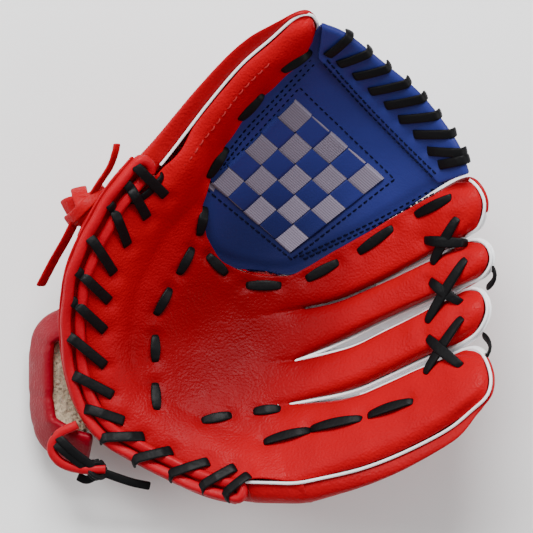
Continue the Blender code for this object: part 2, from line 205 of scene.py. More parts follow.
# %% Helpers: sheets
def grid(name, points):
    """A grid primitive whose points are moved to an array of places, nu + 1 by nv + 1."""
    nu, nv = points.shape[0] - 1, points.shape[1] - 1
    bpy.ops.object.select_all(action="DESELECT")
    bpy.ops.mesh.primitive_grid_add(x_subdivisions=nu, y_subdivisions=nv, size=2)
    piece = bpy.context.active_object
    piece.name = name
    co = points_of(piece)
    i = np.rint((co[:, 0] + 1) / 2 * nu).astype(int)
    j = np.rint((co[:, 1] + 1) / 2 * nv).astype(int)
    piece.data.vertices.foreach_set("co", points[i, j].ravel())
    piece.data.update()
    return piece


def face_up(piece, up=True):
    """Turns an open sheet so that its front faces the pocket, or away from it."""
    total = sum((p.normal * p.area for p in piece.data.polygons), Vector())
    if (total.z > 0) != up:
        edit_mesh(piece, bpy.ops.mesh.flip_normals)


def thicken(piece, thickness, up=True, levels=1):
    """Gives a sheet its thickness, behind the side that faces up or down."""
    face_up(piece, up)
    apply_modifier(piece, "SOLIDIFY", thickness=thickness * MM, offset=-1.0)
    if levels:
        subdivide(piece, levels)
    smooth(piece)
    return piece


WELD_DISTANCE = 0.05


def weld(piece):
    """Merges the points that neighbouring grids share along an edge."""
    edit_mesh(piece, bpy.ops.mesh.remove_doubles, threshold=WELD_DISTANCE * MM)
    edit_mesh(piece, bpy.ops.mesh.normals_make_consistent, inside=False)
    return piece


# %% [markdown]
# ## Helpers for laces and cords
# A lace is a flat strip with round edges that follows a line. A bevelled curve would do it, but it twists
# where the line turns over. Here rings of points are carried along the line and each ring is turned only as
# much as the line itself turns, so the flat side keeps facing the same way.

# %% Helpers: swept strips and cords
LACE_CORNER, LACE_FACE = 0.45, 0.6  # powers of the rounded cross-section: across the edge and over the face


def sweep(name, line, normal, width, thick, corners=10, taper=0.0):
    """A closed strip along places in metres. normal is the way its flat side faces at the start."""
    line = np.asarray(line, float)
    tangent = np.gradient(line, axis=0)
    tangent /= np.linalg.norm(tangent, axis=1)[:, None]
    n = Vector(normal)
    angles = np.linspace(0, 2 * math.pi, corners, endpoint=False) + math.pi / corners
    shape = np.stack([np.sign(np.cos(angles)) * np.abs(np.cos(angles)) ** LACE_CORNER * width / 2,
                      np.sign(np.sin(angles)) * np.abs(np.sin(angles)) ** LACE_FACE * thick / 2], axis=1) * MM
    rings = []
    previous = Vector(tangent[0])
    for i, (point, t) in enumerate(zip(line, tangent)):
        t = Vector(t)
        n = previous.rotation_difference(t) @ n
        n = (n - t * n.dot(t)).normalized()
        previous = t
        side = t.cross(n)
        narrow = 1.0 - taper * (1 - math.sin(math.pi * i / (len(line) - 1)) ** 0.6)
        rings.append(point + narrow * shape[:, :1] * np.array(side) + shape[:, 1:] * np.array(n))
    rings = np.array(rings)
    count = len(line)
    faces = [(i * corners + k, i * corners + (k + 1) % corners, (i + 1) * corners + (k + 1) % corners,
              (i + 1) * corners + k) for i in range(count - 1) for k in range(corners)]
    faces += [tuple(range(corners))[::-1], tuple((count - 1) * corners + k for k in range(corners))]
    mesh = bpy.data.meshes.new(name)
    mesh.from_pydata(rings.reshape(-1, 3).tolist(), [], faces)
    piece = bpy.data.objects.new(name, mesh)
    bpy.context.scene.collection.objects.link(piece)
    edit_mesh(piece, bpy.ops.mesh.normals_make_consistent, inside=False)
    return piece


def cord(name, line, radius, corners=12):
    """A round cord along places in metres."""
    first = np.asarray(line[1], float) - np.asarray(line[0], float)
    up = np.array((0.0, 0.0, 1.0)) if abs(first[2]) < 0.8 * np.linalg.norm(first) else np.array((1.0, 0.0, 0.0))
    piece = sweep(name, line, up, 2 * radius, 2 * radius, corners)
    rings = points_of(piece).reshape(-1, corners, 3)
    centre = np.asarray(line, float)[:, None]
    away = rings - centre
    away *= radius * MM / np.maximum(np.linalg.norm(away, axis=2, keepdims=True), 1e-9)
    piece.data.vertices.foreach_set("co", (centre + away).ravel())
    smooth(piece, 60)
    return piece


# %% [markdown]
# ## Finishes
# The red hide is a synthetic leather: strong even colour, a fine pebbled grain pressed into the film, and
# a soft plastic gloss. Grain could be a picture, but a Voronoi pattern read in Object coordinates needs
# no unwrapping and keeps one scale all over. The white welting, blue web leather, black lace, ribbon and
# fleece each have their own small node tree. Those without a colour of their own take the one in the
# frame's record; the reds, the blue and the black are set here, deep enough to stay rich under the lights.


def colour_of(slot):
    return next(m["base_color"][:3] for m in frame["record"]["materials"] if m["slot"] == slot)


def connect(node, inputs):
    """Sets inputs of a node to values, or links them to sockets."""
    for key, value in inputs.items():
        if isinstance(value, bpy.types.NodeSocket):
            node.id_data.links.new(value, node.inputs[key])
        else:
            node.inputs[key].default_value = value
    return node


def add(made, kind, inputs, **settings):
    """A new node in a material."""
    node = made.node_tree.nodes.new("ShaderNode" + kind)
    for key, value in settings.items():
        setattr(node, key, value)
    return connect(node, inputs)


def grained(name, slot, roughness, sheen=0.0, grain=700.0, height=0.00012, vary=0.12, colour=None, crease=0.2,
            gloss=0.35, pocket=1.0):
    """A Principled material with pebbled grain, soft creases and slow colour variation.

    pocket darkens the colour by that factor at the floor of the pocket: painted shade for the depth of the
    bowl.
    """
    made = bpy.data.materials.new(name)
    made.use_nodes = True
    base = colour or colour_of(slot)
    pale, deep = ([min(1, c * (1 + way * vary)) for c in base] + [1] for way in (1, -1))
    at = add(made, "TexCoord", {}).outputs["Object"]
    slow = add(made, "TexNoise", {"Vector": at, "Scale": 35.0, "Detail": 4.0})
    tone = add(made, "Mix", {0: slow.outputs["Fac"], 6: deep, 7: pale}, data_type="RGBA")
    # Painted shade: the colour darkens towards the floor of the pocket, down to the factor pocket at the floor.
    above_floor = add(made, "SeparateXYZ", {0: at}).outputs["Z"]
    pocket_shade = add(made, "MapRange", {"Value": above_floor, "From Min": 0.026, "From Max": 0.062, "To Min": pocket,
                                  "To Max": 1.0}, interpolation_type="SMOOTHSTEP")
    shaded_tone = add(made, "VectorMath", {0: tone.outputs[2], "Scale": pocket_shade.outputs["Result"]}, operation="SCALE")
    cells = add(made, "TexVoronoi", {"Vector": at, "Scale": grain}, feature="SMOOTH_F1")
    fine = add(made, "TexNoise", {"Vector": at, "Scale": grain * 1.6, "Detail": 3.0})
    both = add(made, "Math", {0: fine.outputs["Fac"], 1: 0.25, 2: cells.outputs["Distance"]},
               operation="MULTIPLY_ADD")
    wrinkle = add(made, "TexNoise", {"Vector": at, "Scale": 90.0, "Detail": 2.5, "Roughness": 0.65})
    folds = add(made, "Bump", {"Height": wrinkle.outputs["Fac"], "Strength": crease, "Distance": 0.0008})
    bump = add(made, "Bump", {"Height": both.outputs[0], "Normal": folds.outputs["Normal"], "Strength": 0.7,
                              "Distance": height})
    rough = add(made, "MapRange", {"Value": wrinkle.outputs["Fac"], "From Min": 0.3, "From Max": 0.7,
                                   "To Min": roughness - 0.06, "To Max": roughness + 0.08})
    connect(made.node_tree.nodes["Principled BSDF"], {
        "Base Color": shaded_tone.outputs["Vector"], "Normal": bump.outputs["Normal"],
        "Roughness": rough.outputs["Result"], "Sheen Weight": sheen, "Specular IOR Level": gloss})
    return made


# pocket=0.36 paints shade into the red hide towards the floor of the pocket.
RED = grained("red_hide", "red_leather", 0.42, height=0.0004, vary=0.18, colour=(0.37, 0.0, 0.006),
              pocket=0.36, gloss=0.06, grain=820.0, crease=0.12)
RED_OUTSIDE = grained("red_outside", "red_leather", 0.42, height=0.0004, vary=0.18,
                      colour=(0.33, 0.0, 0.005), gloss=0.1)
# The strap's red is a darker copy of the hide's red: painted shade on the band that stands on edge.
RED_STRAP_SHADED = grained("red_strap_shaded", "red_leather", 0.42, height=0.0003, vary=0.18,
                    colour=(0.2, 0.0, 0.008), gloss=0.12)
RED_SOFT = grained("red_binding", "red_leather", 0.42, height=0.0002, vary=0.15,
                   colour=(0.36, 0.0, 0.008), gloss=0.12)
WHITE = grained("white_welt", "white_leather", 0.5, vary=0.03, height=0.00005, colour=(0.86, 0.86, 0.88))
# pocket=0.3 paints shade into the blue web towards the floor of the pocket.
BLUE = grained("blue_hide", "blue_leather", 0.42, grain=900.0, height=0.00012, vary=0.12,
               colour=(0.018, 0.023, 0.14), pocket=0.3, gloss=0.12)
BLACK = grained("black_lace", "black_lace", 0.48, grain=500.0, height=0.0002, vary=0.3,
                colour=(0.0025, 0.0025, 0.003), gloss=0.12)
BLUE_THREAD = grained("blue_thread", "blue_leather", 0.6, colour=(0.001, 0.0015, 0.012), vary=0.1, gloss=0.05)
RED_THREAD = grained("red_thread", "red_leather", 0.6, colour=(0.25, 0.002, 0.004), vary=0.1)
FLEECE = grained("fleece_pile", "fleece", 0.95, sheen=0.6, grain=1400.0, height=0.0008, vary=0.3, crease=0.6)
LINING = grained("lining_knit", "lining_cloth", 0.9, sheen=0.3, grain=1600.0, height=0.0002)
PLASTIC = grained("stiffener_sheet", "stiffener_plastic", 0.5, vary=0.05)
FELT = grained("felt_pad", "felt_pad", 0.95, sheen=0.4, grain=1800.0, height=0.0003)


def ribbed(name, slot, pitch):
    """Woven ribbon: fine ribs across the strip, read from its own UV map."""
    made = grained(name, slot, 0.75, sheen=0.1, grain=1500.0, height=0.00005, vary=0.1,
                   colour=(0.17, 0.145, 0.20))
    uv = add(made, "UVMap", {}, uv_map="UVMap")
    ribs = add(made, "TexWave", {"Vector": uv.outputs["UV"], "Scale": pitch, "Distortion": 0.6, "Detail": 1.0},
               bands_direction="X")
    shader = made.node_tree.nodes["Principled BSDF"]
    under, tone = (shader.inputs[key].links[0].from_socket for key in ("Normal", "Base Color"))
    bump = add(made, "Bump", {"Height": ribs.outputs["Fac"], "Normal": under, "Strength": 0.5,
                              "Distance": 0.0002})
    dark = add(made, "Mix", {0: 0.3, 6: tone, 7: ribs.outputs["Color"]}, data_type="RGBA",
               blend_type="MULTIPLY")
    connect(shader, {"Normal": bump.outputs["Normal"], "Base Color": dark.outputs[2]})
    return made


RIBBON = ribbed("grey_ribbon", "grey_ribbon", 18.0)


def dress(piece, finish, body=None):
    """Gives a piece its finish. It rides on a body, or has its transform baked where body is "crease"."""
    piece.data.materials.clear()
    piece.data.materials.append(finish)
    if body == "crease":
        fold(piece)
    elif body:
        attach(piece, body)
    return piece


print(len(bpy.data.materials), "materials")

# %% [markdown]
# ## Where the laces go
# Lace holes pull the leather down into small puckers, so the holes have to be known before the leather is
# made. Each stitch of lace that shows is one short line in plan. They run round the pocket, along the web,
# along the index and little fingers, and in crosses between the fingertips.

# %% Lace plan
HEEL_WRAPS = [((-66, 50), (-51, 35)), ((-71, 41), (-61, 23)), ((-80, 30), (-71.5, 8)), ((-91, 12), (-79, -7)),
              ((-98, -6), (-81.5, -22)), ((-101, -22), (-84, -38)), ((-103, -41), (-84, -57)),
              ((-101, -62), (-80, -73)), ((-95, -80), (-74, -87)), ((-86, -96), (-63, -95.5)),
              ((-69, -108), (-48, -103)), ((-50, -116), (-28, -109)), ((-33, -123), (-13.5, -112)),
              ((-20, -127), (-6, -116))]
WEB_WRAPS = [((36, 110), (50, 121.5)), ((42, 105.5), (59, 111.5)), ((50.5, 99), (68, 103)),
             ((59, 91), (76, 94.5)), ((67.5, 83.5), (84, 86.5)), ((75, 76), (91.5, 77.5)),
             ((83, 68), (99.5, 68)), ((90.5, 59), (106, 58)), ((96.5, 51.5), (109.5, 54))]
THUMB_STITCHES = [((27, 112), (12, 102)), ((1, 89), (-11, 76)), ((-18.5, 60.5), (-28, 45)),
                  ((-30, 28.5), (-33, 14)), ((-37, 6.5), (-44, -7))]
PALM_STITCHES = [((-49, -15.5), (-56.5, -29)), ((-57, -41), (-57, -54.5)), ((-57, -67), (-56, -80.5)),
                 ((-31, -87), (-16, -84)), ((-3, -82), (10.5, -80.5))]
POCKET_STITCHES = [((-28, 2.5), (-18.5, -7)), ((-7, -13.5), (11, -13.5))]
INDEX_STITCHES = [((25.5, -10), (42, -1)), ((53.5, 4.5), (71.5, 17.5)), ((84, 24.5), (102.5, 34))]
LITTLE_STITCHES = [((2.5, -98.5), (27, -92)), ((27.5, -91.5), (54.5, -85.5)), ((58.5, -84), (82, -76))]
HEEL_CROSSING = ((-52.5, 46), (-69, 31))
CROSSES = [(((106, 22.5), (93, -2)), ((89, 11), (111, 9.5))),
           (((110.5, 0.5), (90, -33.5)), ((92, -11), (108, -22.5))),
           (((108.5, -31), (89, -61)), ((90.5, -41.5), (108, -56.5)))]
HOLES = [wrap[1] for wrap in HEEL_WRAPS]
for stitches in (THUMB_STITCHES, PALM_STITCHES, POCKET_STITCHES, INDEX_STITCHES, LITTLE_STITCHES):
    HOLES += [end for stitch in stitches for end in stitch]
HOLES += [end for cross in CROSSES for arm in cross for end in arm]
HEEL_EDGE = [(-53, 50), (-73, 27), (-89, -3), (-94, -23), (-95, -43), (-93, -62), (-88, -77), (-78, -90),
             (-56, -102.5), (-30, -114.5), (-12, -119)]
print(len(HOLES), "lace holes")

# %% [markdown]
# ## The pocket leather
# The palm and the fronts of the four fingers are cut from one hide. Here it is four long strips, one for
# each finger, that share their edges across the palm and part at the slits. Each finger is padded, so its
# cross-section is a super-ellipse: flat on top and round at the edges. The puckers at the lace holes, the
# padded roll along the heel and a little unevenness are added to the depth before the points are hung.

# %% Pocket leather: shape of its face
HOLE_PULL = 1.5
HOLE_WIDTH = 2.6
HEEL_SWELL = 2.6
HEEL_SWELL_WIDTH = 26.0
UNEVEN = 0.45


def distance_to(line, x, y):
    """How far plan points are from a line."""
    best = np.full(np.shape(x), 1e9)
    for a, b in zip(line[:-1], line[1:]):
        d = b - a
        t = np.clip(((x - a[0]) * d[0] + (y - a[1]) * d[1]) / max(d @ d, 1e-9), 0, 1)
        best = np.minimum(best, np.hypot(x - a[0] - t * d[0], y - a[1] - t * d[1]))
    return best


def hide_detail(x, y):
    """Extra depth from puckers, the heel roll and unevenness."""
    depth = np.zeros(np.shape(x))
    for hole_x, hole_y in HOLES:
        away = (x - hole_x) ** 2 + (y - hole_y) ** 2
        depth = depth + HOLE_PULL * np.exp(-away / (2 * HOLE_WIDTH**2)) - 0.5 * np.exp(-away / (2 * 7.0**2))
    edge = distance_to(curve(HEEL_EDGE, 60), x, y)
    depth = depth - HEEL_SWELL * np.sin(np.pi * np.clip(edge / HEEL_SWELL_WIDTH, 0, 1))
    depth = depth + 1.2 * np.exp(-edge / 2.5)
    rough = np.array([noise.noise(Vector((a / 17, b / 17, 0.3)))
                      + 0.4 * noise.noise(Vector((a / 7, b / 7, 4.1)))
                      for a, b in zip(np.ravel(x), np.ravel(y))]).reshape(np.shape(x))
    return depth + UNEVEN * rough


EDGE_DEPTH = 4.6
CROWN = 3.6
FINGER_ROUNDING = 2.4


def pillow(v, grow, tip=None):
    """Depth across a padded finger. v runs across it, grow from 0 in the palm to 1 on the finger."""
    across = np.abs(2 * v - 1) ** FINGER_ROUNDING
    if tip is not None:
        across = across + tip**FINGER_ROUNDING
    edge, crown = EDGE_DEPTH * grow, CROWN * grow
    return edge - (edge + crown) * np.sqrt(np.clip(1 - across, 0, 1))


# %% [markdown]
# Each finger's outline is a side nearer the thumb, a tip and a side nearer the heel of the hand. In the palm
# the outlines run on as four shared lines that fan in towards the heel.

# %% Pocket leather: finger strips
FINGERS = {
    "index": {
        "upper": [(4, -8.5), (18, -7.5), (38, 4), (56, 14), (81, 28.5), (103, 41)],
        "tip": [(111, 40), (116.5, 30), (114, 18)],
        "lower": [(18.5, -27), (40, -22.1), (60, -13.5), (85, 0), (107, 13)],
    },
    "middle": {
        "upper": [(18.5, -27), (40, -22.2), (60, -13.9), (85, -2.3), (108, 9.5)],
        "tip": [(117, 8), (120, 0), (116, -8)],
        "lower": [(18, -54), (42, -43.5), (66, -31.5), (92, -19.5), (107, -12)],
    },
    "ring": {
        "upper": [(18, -54), (47, -46.3), (66, -37.3), (85, -28), (107, -16)],
        "tip": [(115, -17), (118, -26), (114, -36)],
        "lower": [(15, -77), (47, -69), (66, -61), (85, -52), (106, -42.5)],
    },
    "little": {
        "upper": [(15, -77), (47, -72.5), (66, -65), (85, -56.5), (107, -47)],
        "tip": [(115, -49), (119.5, -60), (118, -70)],
        "lower": [(18, -118.5), (32, -115), (54, -108.5), (75, -100), (97, -88.5), (110, -78)],
    },
}
PALM_LINES = [
    [(-94, -46), (-45, -27.3), (4, -8.5)],
    [(-94.7, -54), (-46, -36), (-13.5, -32), (18.5, -27)],
    [(-91.5, -67), (-65, -62), (-24.5, -58), (18, -54)],
    [(-85, -81), (-65, -84), (-32.5, -83), (15, -77)],
    [(-78, -90), (-56, -102.5), (-30, -114.5), (-12, -118.5), (18, -118.5)],
]
PALM_STEPS, FINGER_STEPS, ACROSS = 52, 62, 16
GROOVE_BEFORE, GROOVE_LENGTH = 26.0, 66.0
TIP_STARTS = 0.78
INDEX_EDGE_RISES, INDEX_EDGE_LENGTH = 88.0, 18.0
HIDE_THICK = 1.8


def groove(line_start, x):
    """How far a finger has become a pillow at plan x: 0 deep in the palm, 1 well past the slit."""
    return ease((x - line_start + GROOVE_BEFORE) / GROOVE_LENGTH)


def finger_strip(number, shape):
    """Plan and depth of one finger, from the heel to the tip, as two welded grids."""
    above, below = PALM_LINES[number], PALM_LINES[number + 1]
    v = np.linspace(0, 1, ACROSS + 1)[None, :]
    palm = patch(above, below, [above[0], below[0]], [above[-1], below[-1]], PALM_STEPS, ACROSS)
    tip = [shape["upper"][-1], *shape["tip"], shape["lower"][-1]]
    reach = patch(shape["upper"], shape["lower"], [above[-1], below[-1]], tip, FINGER_STEPS, ACROSS)
    grids = []
    for part, plan in (("palm", palm), ("finger", reach)):
        x, y = plan[..., 0], plan[..., 1]
        start = (1 - v) * above[-1][0] + v * below[-1][0]
        grow = groove(start, x)
        if number == 0:
            grow = grow * (v + (1 - v) * ease((x - INDEX_EDGE_RISES) / INDEX_EDGE_LENGTH))
        if number == 3:
            grow = grow * ((1 - v) + v * ease((x + 60) / 60))
        end = None
        if part == "finger":
            u = np.linspace(0, 1, FINGER_STEPS + 1)[:, None]
            end = np.clip((u - TIP_STARTS) / (1 - TIP_STARTS), 0, 1)
        depth = pillow(v, grow, end) + hide_detail(x, y)
        grids.append(grid(f"{part}_{number}", hang(x, y, depth)))
    return grids


strips = [piece for number, shape in enumerate(FINGERS.values()) for piece in finger_strip(number, shape)]
print(len(strips), "grids in the four strips")

# %% [markdown]
# ## The thumb lobe
# The other half of the same hide climbs from the crease of the pocket to the thumb. The glove folds along
# that crease. Two grids share the line across the thumb's foot.

# %% Thumb lobe
THUMB_FOOT = [(-82, 12), (-56, 15), (-29, 13)]
THUMB_OUTER = [(-82, 12), (-73, 26), (-51, 48.5), (-26.5, 80), (-8.5, 101), (7, 114.5), (19, 125),
               (25.5, 127.5)]
THUMB_INNER = [(-29, 13), (-30.5, 29), (-21, 56), (-8, 76), (10, 95), (23, 107), (31, 119)]
WEB_FOOT = [(4, -8.5), (-9, -6), (-21, 0), (-29, 13)]
THUMB_STEPS = 60
THUMB_PADDING = 0.8

foot = patch(PALM_LINES[0], THUMB_FOOT, [(-94, -46), (-94, -23), (-89, -3), (-82, 12)], WEB_FOOT,
             PALM_STEPS, 24)
lobe = patch(THUMB_FOOT, [(25.5, 127.5), (29.5, 125.5), (31, 119)], THUMB_OUTER, THUMB_INNER, PALM_STEPS,
             THUMB_STEPS)
foot_face = grid("thumb_foot", lay(foot, hide_detail(foot[..., 0], foot[..., 1])))
w = np.linspace(0, 1, PALM_STEPS + 1)[:, None]
t = np.linspace(0, 1, THUMB_STEPS + 1)[None, :]
rise = ease(t * 3.0)
end = np.clip((t - 0.9) / 0.1, 0, 1)
lobe_depth = pillow(w, rise * THUMB_PADDING, end) * (1 - 0.95 * w**3 * (1 - end))
lobe_depth = lobe_depth + hide_detail(lobe[..., 0], lobe[..., 1])
lobe_face = grid("thumb_lobe", lay(lobe, lobe_depth))
hide = thicken(weld(joined("pocket_hide", [*strips, foot_face, lobe_face])), HIDE_THICK)
dress(hide, RED)
print("pocket hide", len(hide.data.polygons), "faces")

# %% [markdown]
# ## Looking for the face of the leather
# Laces, stitches and piping lie on the finished leather, not on the guide bowl. A ray dropped straight down
# on the finished meshes finds the height and the slope of the surface at any plan point.

# %% Ray down onto the leather
def tree_of(*pieces):
    places, faces = [], []
    for piece in pieces:
        start = len(places)
        places += [tuple(v.co) for v in piece.data.vertices]
        faces += [tuple(start + i for i in p.vertices) for p in piece.data.polygons]
    return BVHTree.FromPolygons(places, faces)


def land(tree, x, y, lift=0.0):
    """Place and normal of the leather under a plan point, raised by lift millimetres along the normal."""
    origin = Vector(((x - BOX_CENTRE[0]) * MM, (y - BOX_CENTRE[1]) * MM, 0.5))
    place, normal, *_ = tree.ray_cast(origin, Vector((0, 0, -1)))
    if place is None:
        place, normal = Vector(hang(x, y, 0.0)), Vector((0, 0, 1))
    if normal.z < 0:
        normal = -normal
    return np.array(place + normal * lift * MM), np.array(normal)


# %% [markdown]
# ## The crease between hand and thumb
# The glove closes about a crease that crosses the pocket. The pieces near the crease only have their
# transform baked into the mesh here; nothing bends them. Pieces that lie wholly on one side simply ride
# the hand or the thumb.


def fold(piece):
    """Bakes a finished piece's transform into its mesh; it does not bend it."""
    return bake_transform(piece)


fold(hide)
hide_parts("palm_leather", "index_front", "middle_front", "ring_front", "little_front", "thumb_front",
            "palm_crease")
leather = tree_of(hide)

# %% [markdown]
# ## Finger stalls
# Behind each padded front is a hollow stall for a finger: white welting along the seam, a gusset that wraps
# the side and the tip, and a rounded back. The gussets are white between the fingers and red where the glove
# shows its outside. The same function makes all four. Its walls are grids whose long way follows the outline.

# %% Finger stalls
STALL_KNUCKLE, STALL_TIP = 21.0, 8.0
WELT, WELT_DEPTH = 0.85, 0.9
SLIT_OPENS = 60.0
UNDER_SEAM = 1.5
SHELL_START = 14.0
SHELL_ROUNDING = 2.6
OUTER_BULGE = 4.4


def outward(line):
    along = np.gradient(line, axis=0)
    along /= np.linalg.norm(along, axis=1)[:, None]
    return np.stack([-along[:, 1], along[:, 0]], axis=1)


def stall(x):
    return STALL_KNUCKLE + (STALL_TIP - STALL_KNUCKLE) * np.clip((x - 18) / 100, 0, 1) ** 1.3


def edge_depth(number, x, upper):
    """Depth of the front's edge at plan x."""
    start = PALM_LINES[number + (0 if upper else 1)][-1][0]
    grow = groove(start, x)
    if number == 0 and upper:
        grow = grow * ease((x - INDEX_EDGE_RISES) / INDEX_EDGE_LENGTH)
    return EDGE_DEPTH * grow


def seam(line, depth, out, radius, name, finish, body):
    """A round welt along a plan line at the given depths, pushed outwards a little."""
    push = outward(line) * out
    piece = cord(name, hang(line[:, 0] + push[:, 0], line[:, 1] + push[:, 1], depth), radius)
    return dress(piece, finish, body)


def gusset(name, line, near, far, bulge, finish, body, rows=8, foot=0.0):
    """A wall that bulges outwards, from the front's seam down to the back's."""
    out = outward(line)
    t = np.linspace(0, 1, rows + 1)[None, :]
    swell = bulge[:, None] * np.sin(np.pi * t) ** 0.8 + 0.3 - 1.5 * (1 - t) ** 4 - foot * t**3
    x = line[:, :1] + out[:, :1] * swell
    y = line[:, 1:] + out[:, 1:] * swell
    piece = grid(name, hang(x, y, near[:, None] * (1 - t) + far[:, None] * t))
    centre = Vector((hang(*line.mean(axis=0), near.mean())).tolist())
    facing = sum((p.normal.dot(p.center - centre) * p.area for p in piece.data.polygons))
    if facing < 0:
        edit_mesh(piece, bpy.ops.mesh.flip_normals)
    apply_modifier(piece, "SOLIDIFY", thickness=1.3 * MM, offset=-1.0)
    subdivide(piece)
    smooth(piece)
    return dress(piece, finish, body)


def finger_stall(number, name, shape):
    """Welt, gusset and back of one finger."""
    below = [(4, -119), (-8, -119)] if number == 3 else []
    line = curve([*shape["upper"], *shape["tip"], *shape["lower"][::-1], *below], 101)
    x = line[:, 0]
    turn = int(np.argmax(x))
    upper = np.arange(len(line)) < turn
    near = np.where(upper, edge_depth(number, x, True), edge_depth(number, x, False))
    outer = (number == 3) & ~upper
    outer_bulge = OUTER_BULGE * ease((x + 30) / 20) * (0.15 + 0.85 * ease((118 - x) / 22))
    bulge = np.where(outer, outer_bulge, 0.9 * ease((x - 14) / 30))
    keep = {0: (x > 108) | (~upper & (x > SLIT_OPENS)), 1: (x > SLIT_OPENS) | ~upper, 2: x > -50,
            3: (x > SLIT_OPENS - 10) | ~upper}[number]
    welt = seam(line[keep], near[keep] + WELT_DEPTH, 0.3, WELT, f"{name}_welt", WHITE, "hand")
    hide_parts(f"{name}_piping")
    top, far = near + UNDER_SEAM, np.maximum(stall(x), near + 4)
    tuck = 4.0 * (1 - ease((x - 94) / 10)) * upper if number == 0 else 0 * x
    if number == 3:
        split = int(turn - 5)
        gusset("little_inner_wall", line[:split + 1], top[:split + 1], far[:split + 1], bulge[:split + 1],
               WHITE, "hand")
        wall = gusset("little_outer_wall", line[split:], top[split:], far[split:], bulge[split:], RED_OUTSIDE,
                      "hand")
        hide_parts("little_gusset")
    elif number == 0:
        first, split = int(np.argmax(x > 24)), int(turn + 2)
        gusset("index_outer_wall", line[first:split + 1], (top + tuck)[first:split + 1], far[first:split + 1],
               bulge[first:split + 1], RED_OUTSIDE, "hand")
        wall = gusset("index_inner_wall", line[split:], top[split:], far[split:], bulge[split:], WHITE, "hand")
        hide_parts("index_gusset")
    else:
        wall = gusset(f"{name}_wall", line, top, far, bulge, WHITE, "hand")
        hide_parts(f"{name}_gusset")
    tip = [shape["upper"][-1], *shape["tip"], shape["lower"][-1]]
    upper_side = [p for p in curve(shape["upper"], 60) if p[0] > SHELL_START]
    lower_side = [p for p in curve(shape["lower"], 60) if p[0] > SHELL_START]
    plan = patch(upper_side, lower_side, [upper_side[0], lower_side[0]], tip, 36, 12)
    v = np.linspace(0, 1, 13)[None, :]
    u = np.linspace(0, 1, 37)[:, None]
    round_off = np.sqrt(np.clip(1 - np.abs(2 * v - 1) ** SHELL_ROUNDING
                                - np.clip((u - 0.86) / 0.14, 0, 1) ** SHELL_ROUNDING, 0, 1))
    seams = 0.7 * np.exp(-((u - 0.45) / 0.02) ** 2)
    depth = stall(plan[..., 0]) + (6.5 - 2.5 * u) * round_off - seams
    places = lay(plan, depth)
    places[..., 2] = np.maximum(places[..., 2], 0.0005)
    back = dress(thicken(grid(f"{name}_shell", places), HIDE_THICK, up=False), RED_OUTSIDE, "hand")
    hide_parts(f"{name}_back")


for number, (name, shape) in enumerate(FINGERS.items()):
    finger_stall(number, name, shape)
print("finger stalls done")

# %% [markdown]
# ## The thumb stall
# The thumb is made the same way as a finger: white welting on the outer seam, a fat red side that curls
# round, and a rounded back.

# %% Thumb stall
THUMB_STALL, THUMB_STALL_TIP, THUMB_SHELL_TIP = 19.0, 7.0, 5.0
thumb_line = curve([(-86, 4), *THUMB_OUTER, (29.5, 125.5), *THUMB_INNER[:1:-1]], 111)
reach = np.clip((thumb_line[:, 0] + thumb_line[:, 1] + 60) / 210, 0, 1)
thumb_far = THUMB_STALL + (THUMB_STALL_TIP - THUMB_STALL) * reach**1.4
turn = int(np.argmax(thumb_line[:, 0] + thumb_line[:, 1]))
on_outer = np.arange(len(thumb_line)) < turn
thumb_near = EDGE_DEPTH * THUMB_PADDING * ease(reach * 4) * np.where(on_outer, 1.0, 1.1)
thumb_bulge = np.where(on_outer, 1.2 + 4.4 * ease((1 - reach) / 0.2), 0.6)
wall = gusset("thumb_side", thumb_line, thumb_near + UNDER_SEAM, thumb_far, thumb_bulge, RED_OUTSIDE, "crease")
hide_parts("thumb_gusset")
part = (thumb_line[:, 1] > 47) & (np.arange(len(thumb_line)) < turn + 8)
welt = seam(thumb_line[part], thumb_near[part] + WELT_DEPTH, 0.3, WELT, "thumb_welt", WHITE, "crease")
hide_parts("thumb_piping")

BACK_NEAR = 24.0
thumb_tip = [(30, 118), (31, 124), (27, 129)]
back_plan = patch([(-62, -27), (-36, -15.5), (-27, -6), (-29, 9), (-31, 29), (-21, 56), (-8, 76), (10, 95),
                   (23, 107), (30, 118)],
                  [(-80, 14), (-73, 26), (-52, 50), (-28, 82), (-10, 103), (6, 117), (20, 128), (27, 129)],
                  [(-62, -27), (-80, 14)], thumb_tip, 48, 16)
u, v = np.linspace(0, 1, 49)[:, None], np.linspace(0, 1, 17)[None, :]
along = np.clip((back_plan[..., 0] + back_plan[..., 1] + 60) / 210, 0, 1)
shallow = THUMB_STALL + (THUMB_SHELL_TIP - THUMB_STALL) * along**1.4
inner_foot = (1 - ease(v)) * (1 - ease(u * 2.2))
round_off = np.sqrt(np.clip(1 - np.abs(2 * v - 1) ** SHELL_ROUNDING, 0, 1))
round_off = round_off * (1 - 0.5 * np.clip((u - 0.8) / 0.2, 0, 1))
depth = shallow + (BACK_NEAR + 6 - shallow) * inner_foot + 5.0 * round_off * (1 - inner_foot)
places = lay(back_plan, depth)
places[..., 2] = np.maximum(places[..., 2], 0.0)
thumb_shell = dress(thicken(grid("thumb_shell", places), 2.0, up=False), RED_OUTSIDE, "crease")
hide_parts("thumb_back")

# %% [markdown]
# ## The back of the hand
# The glove rests on one padded sheet. Cloth simulation would give it folds, but it lies pressed between the
# floor and the stalls, so a depth formula with flattened edges is closer to its shape. Two walls close the
# gaps beside it, at the little finger and under the web.

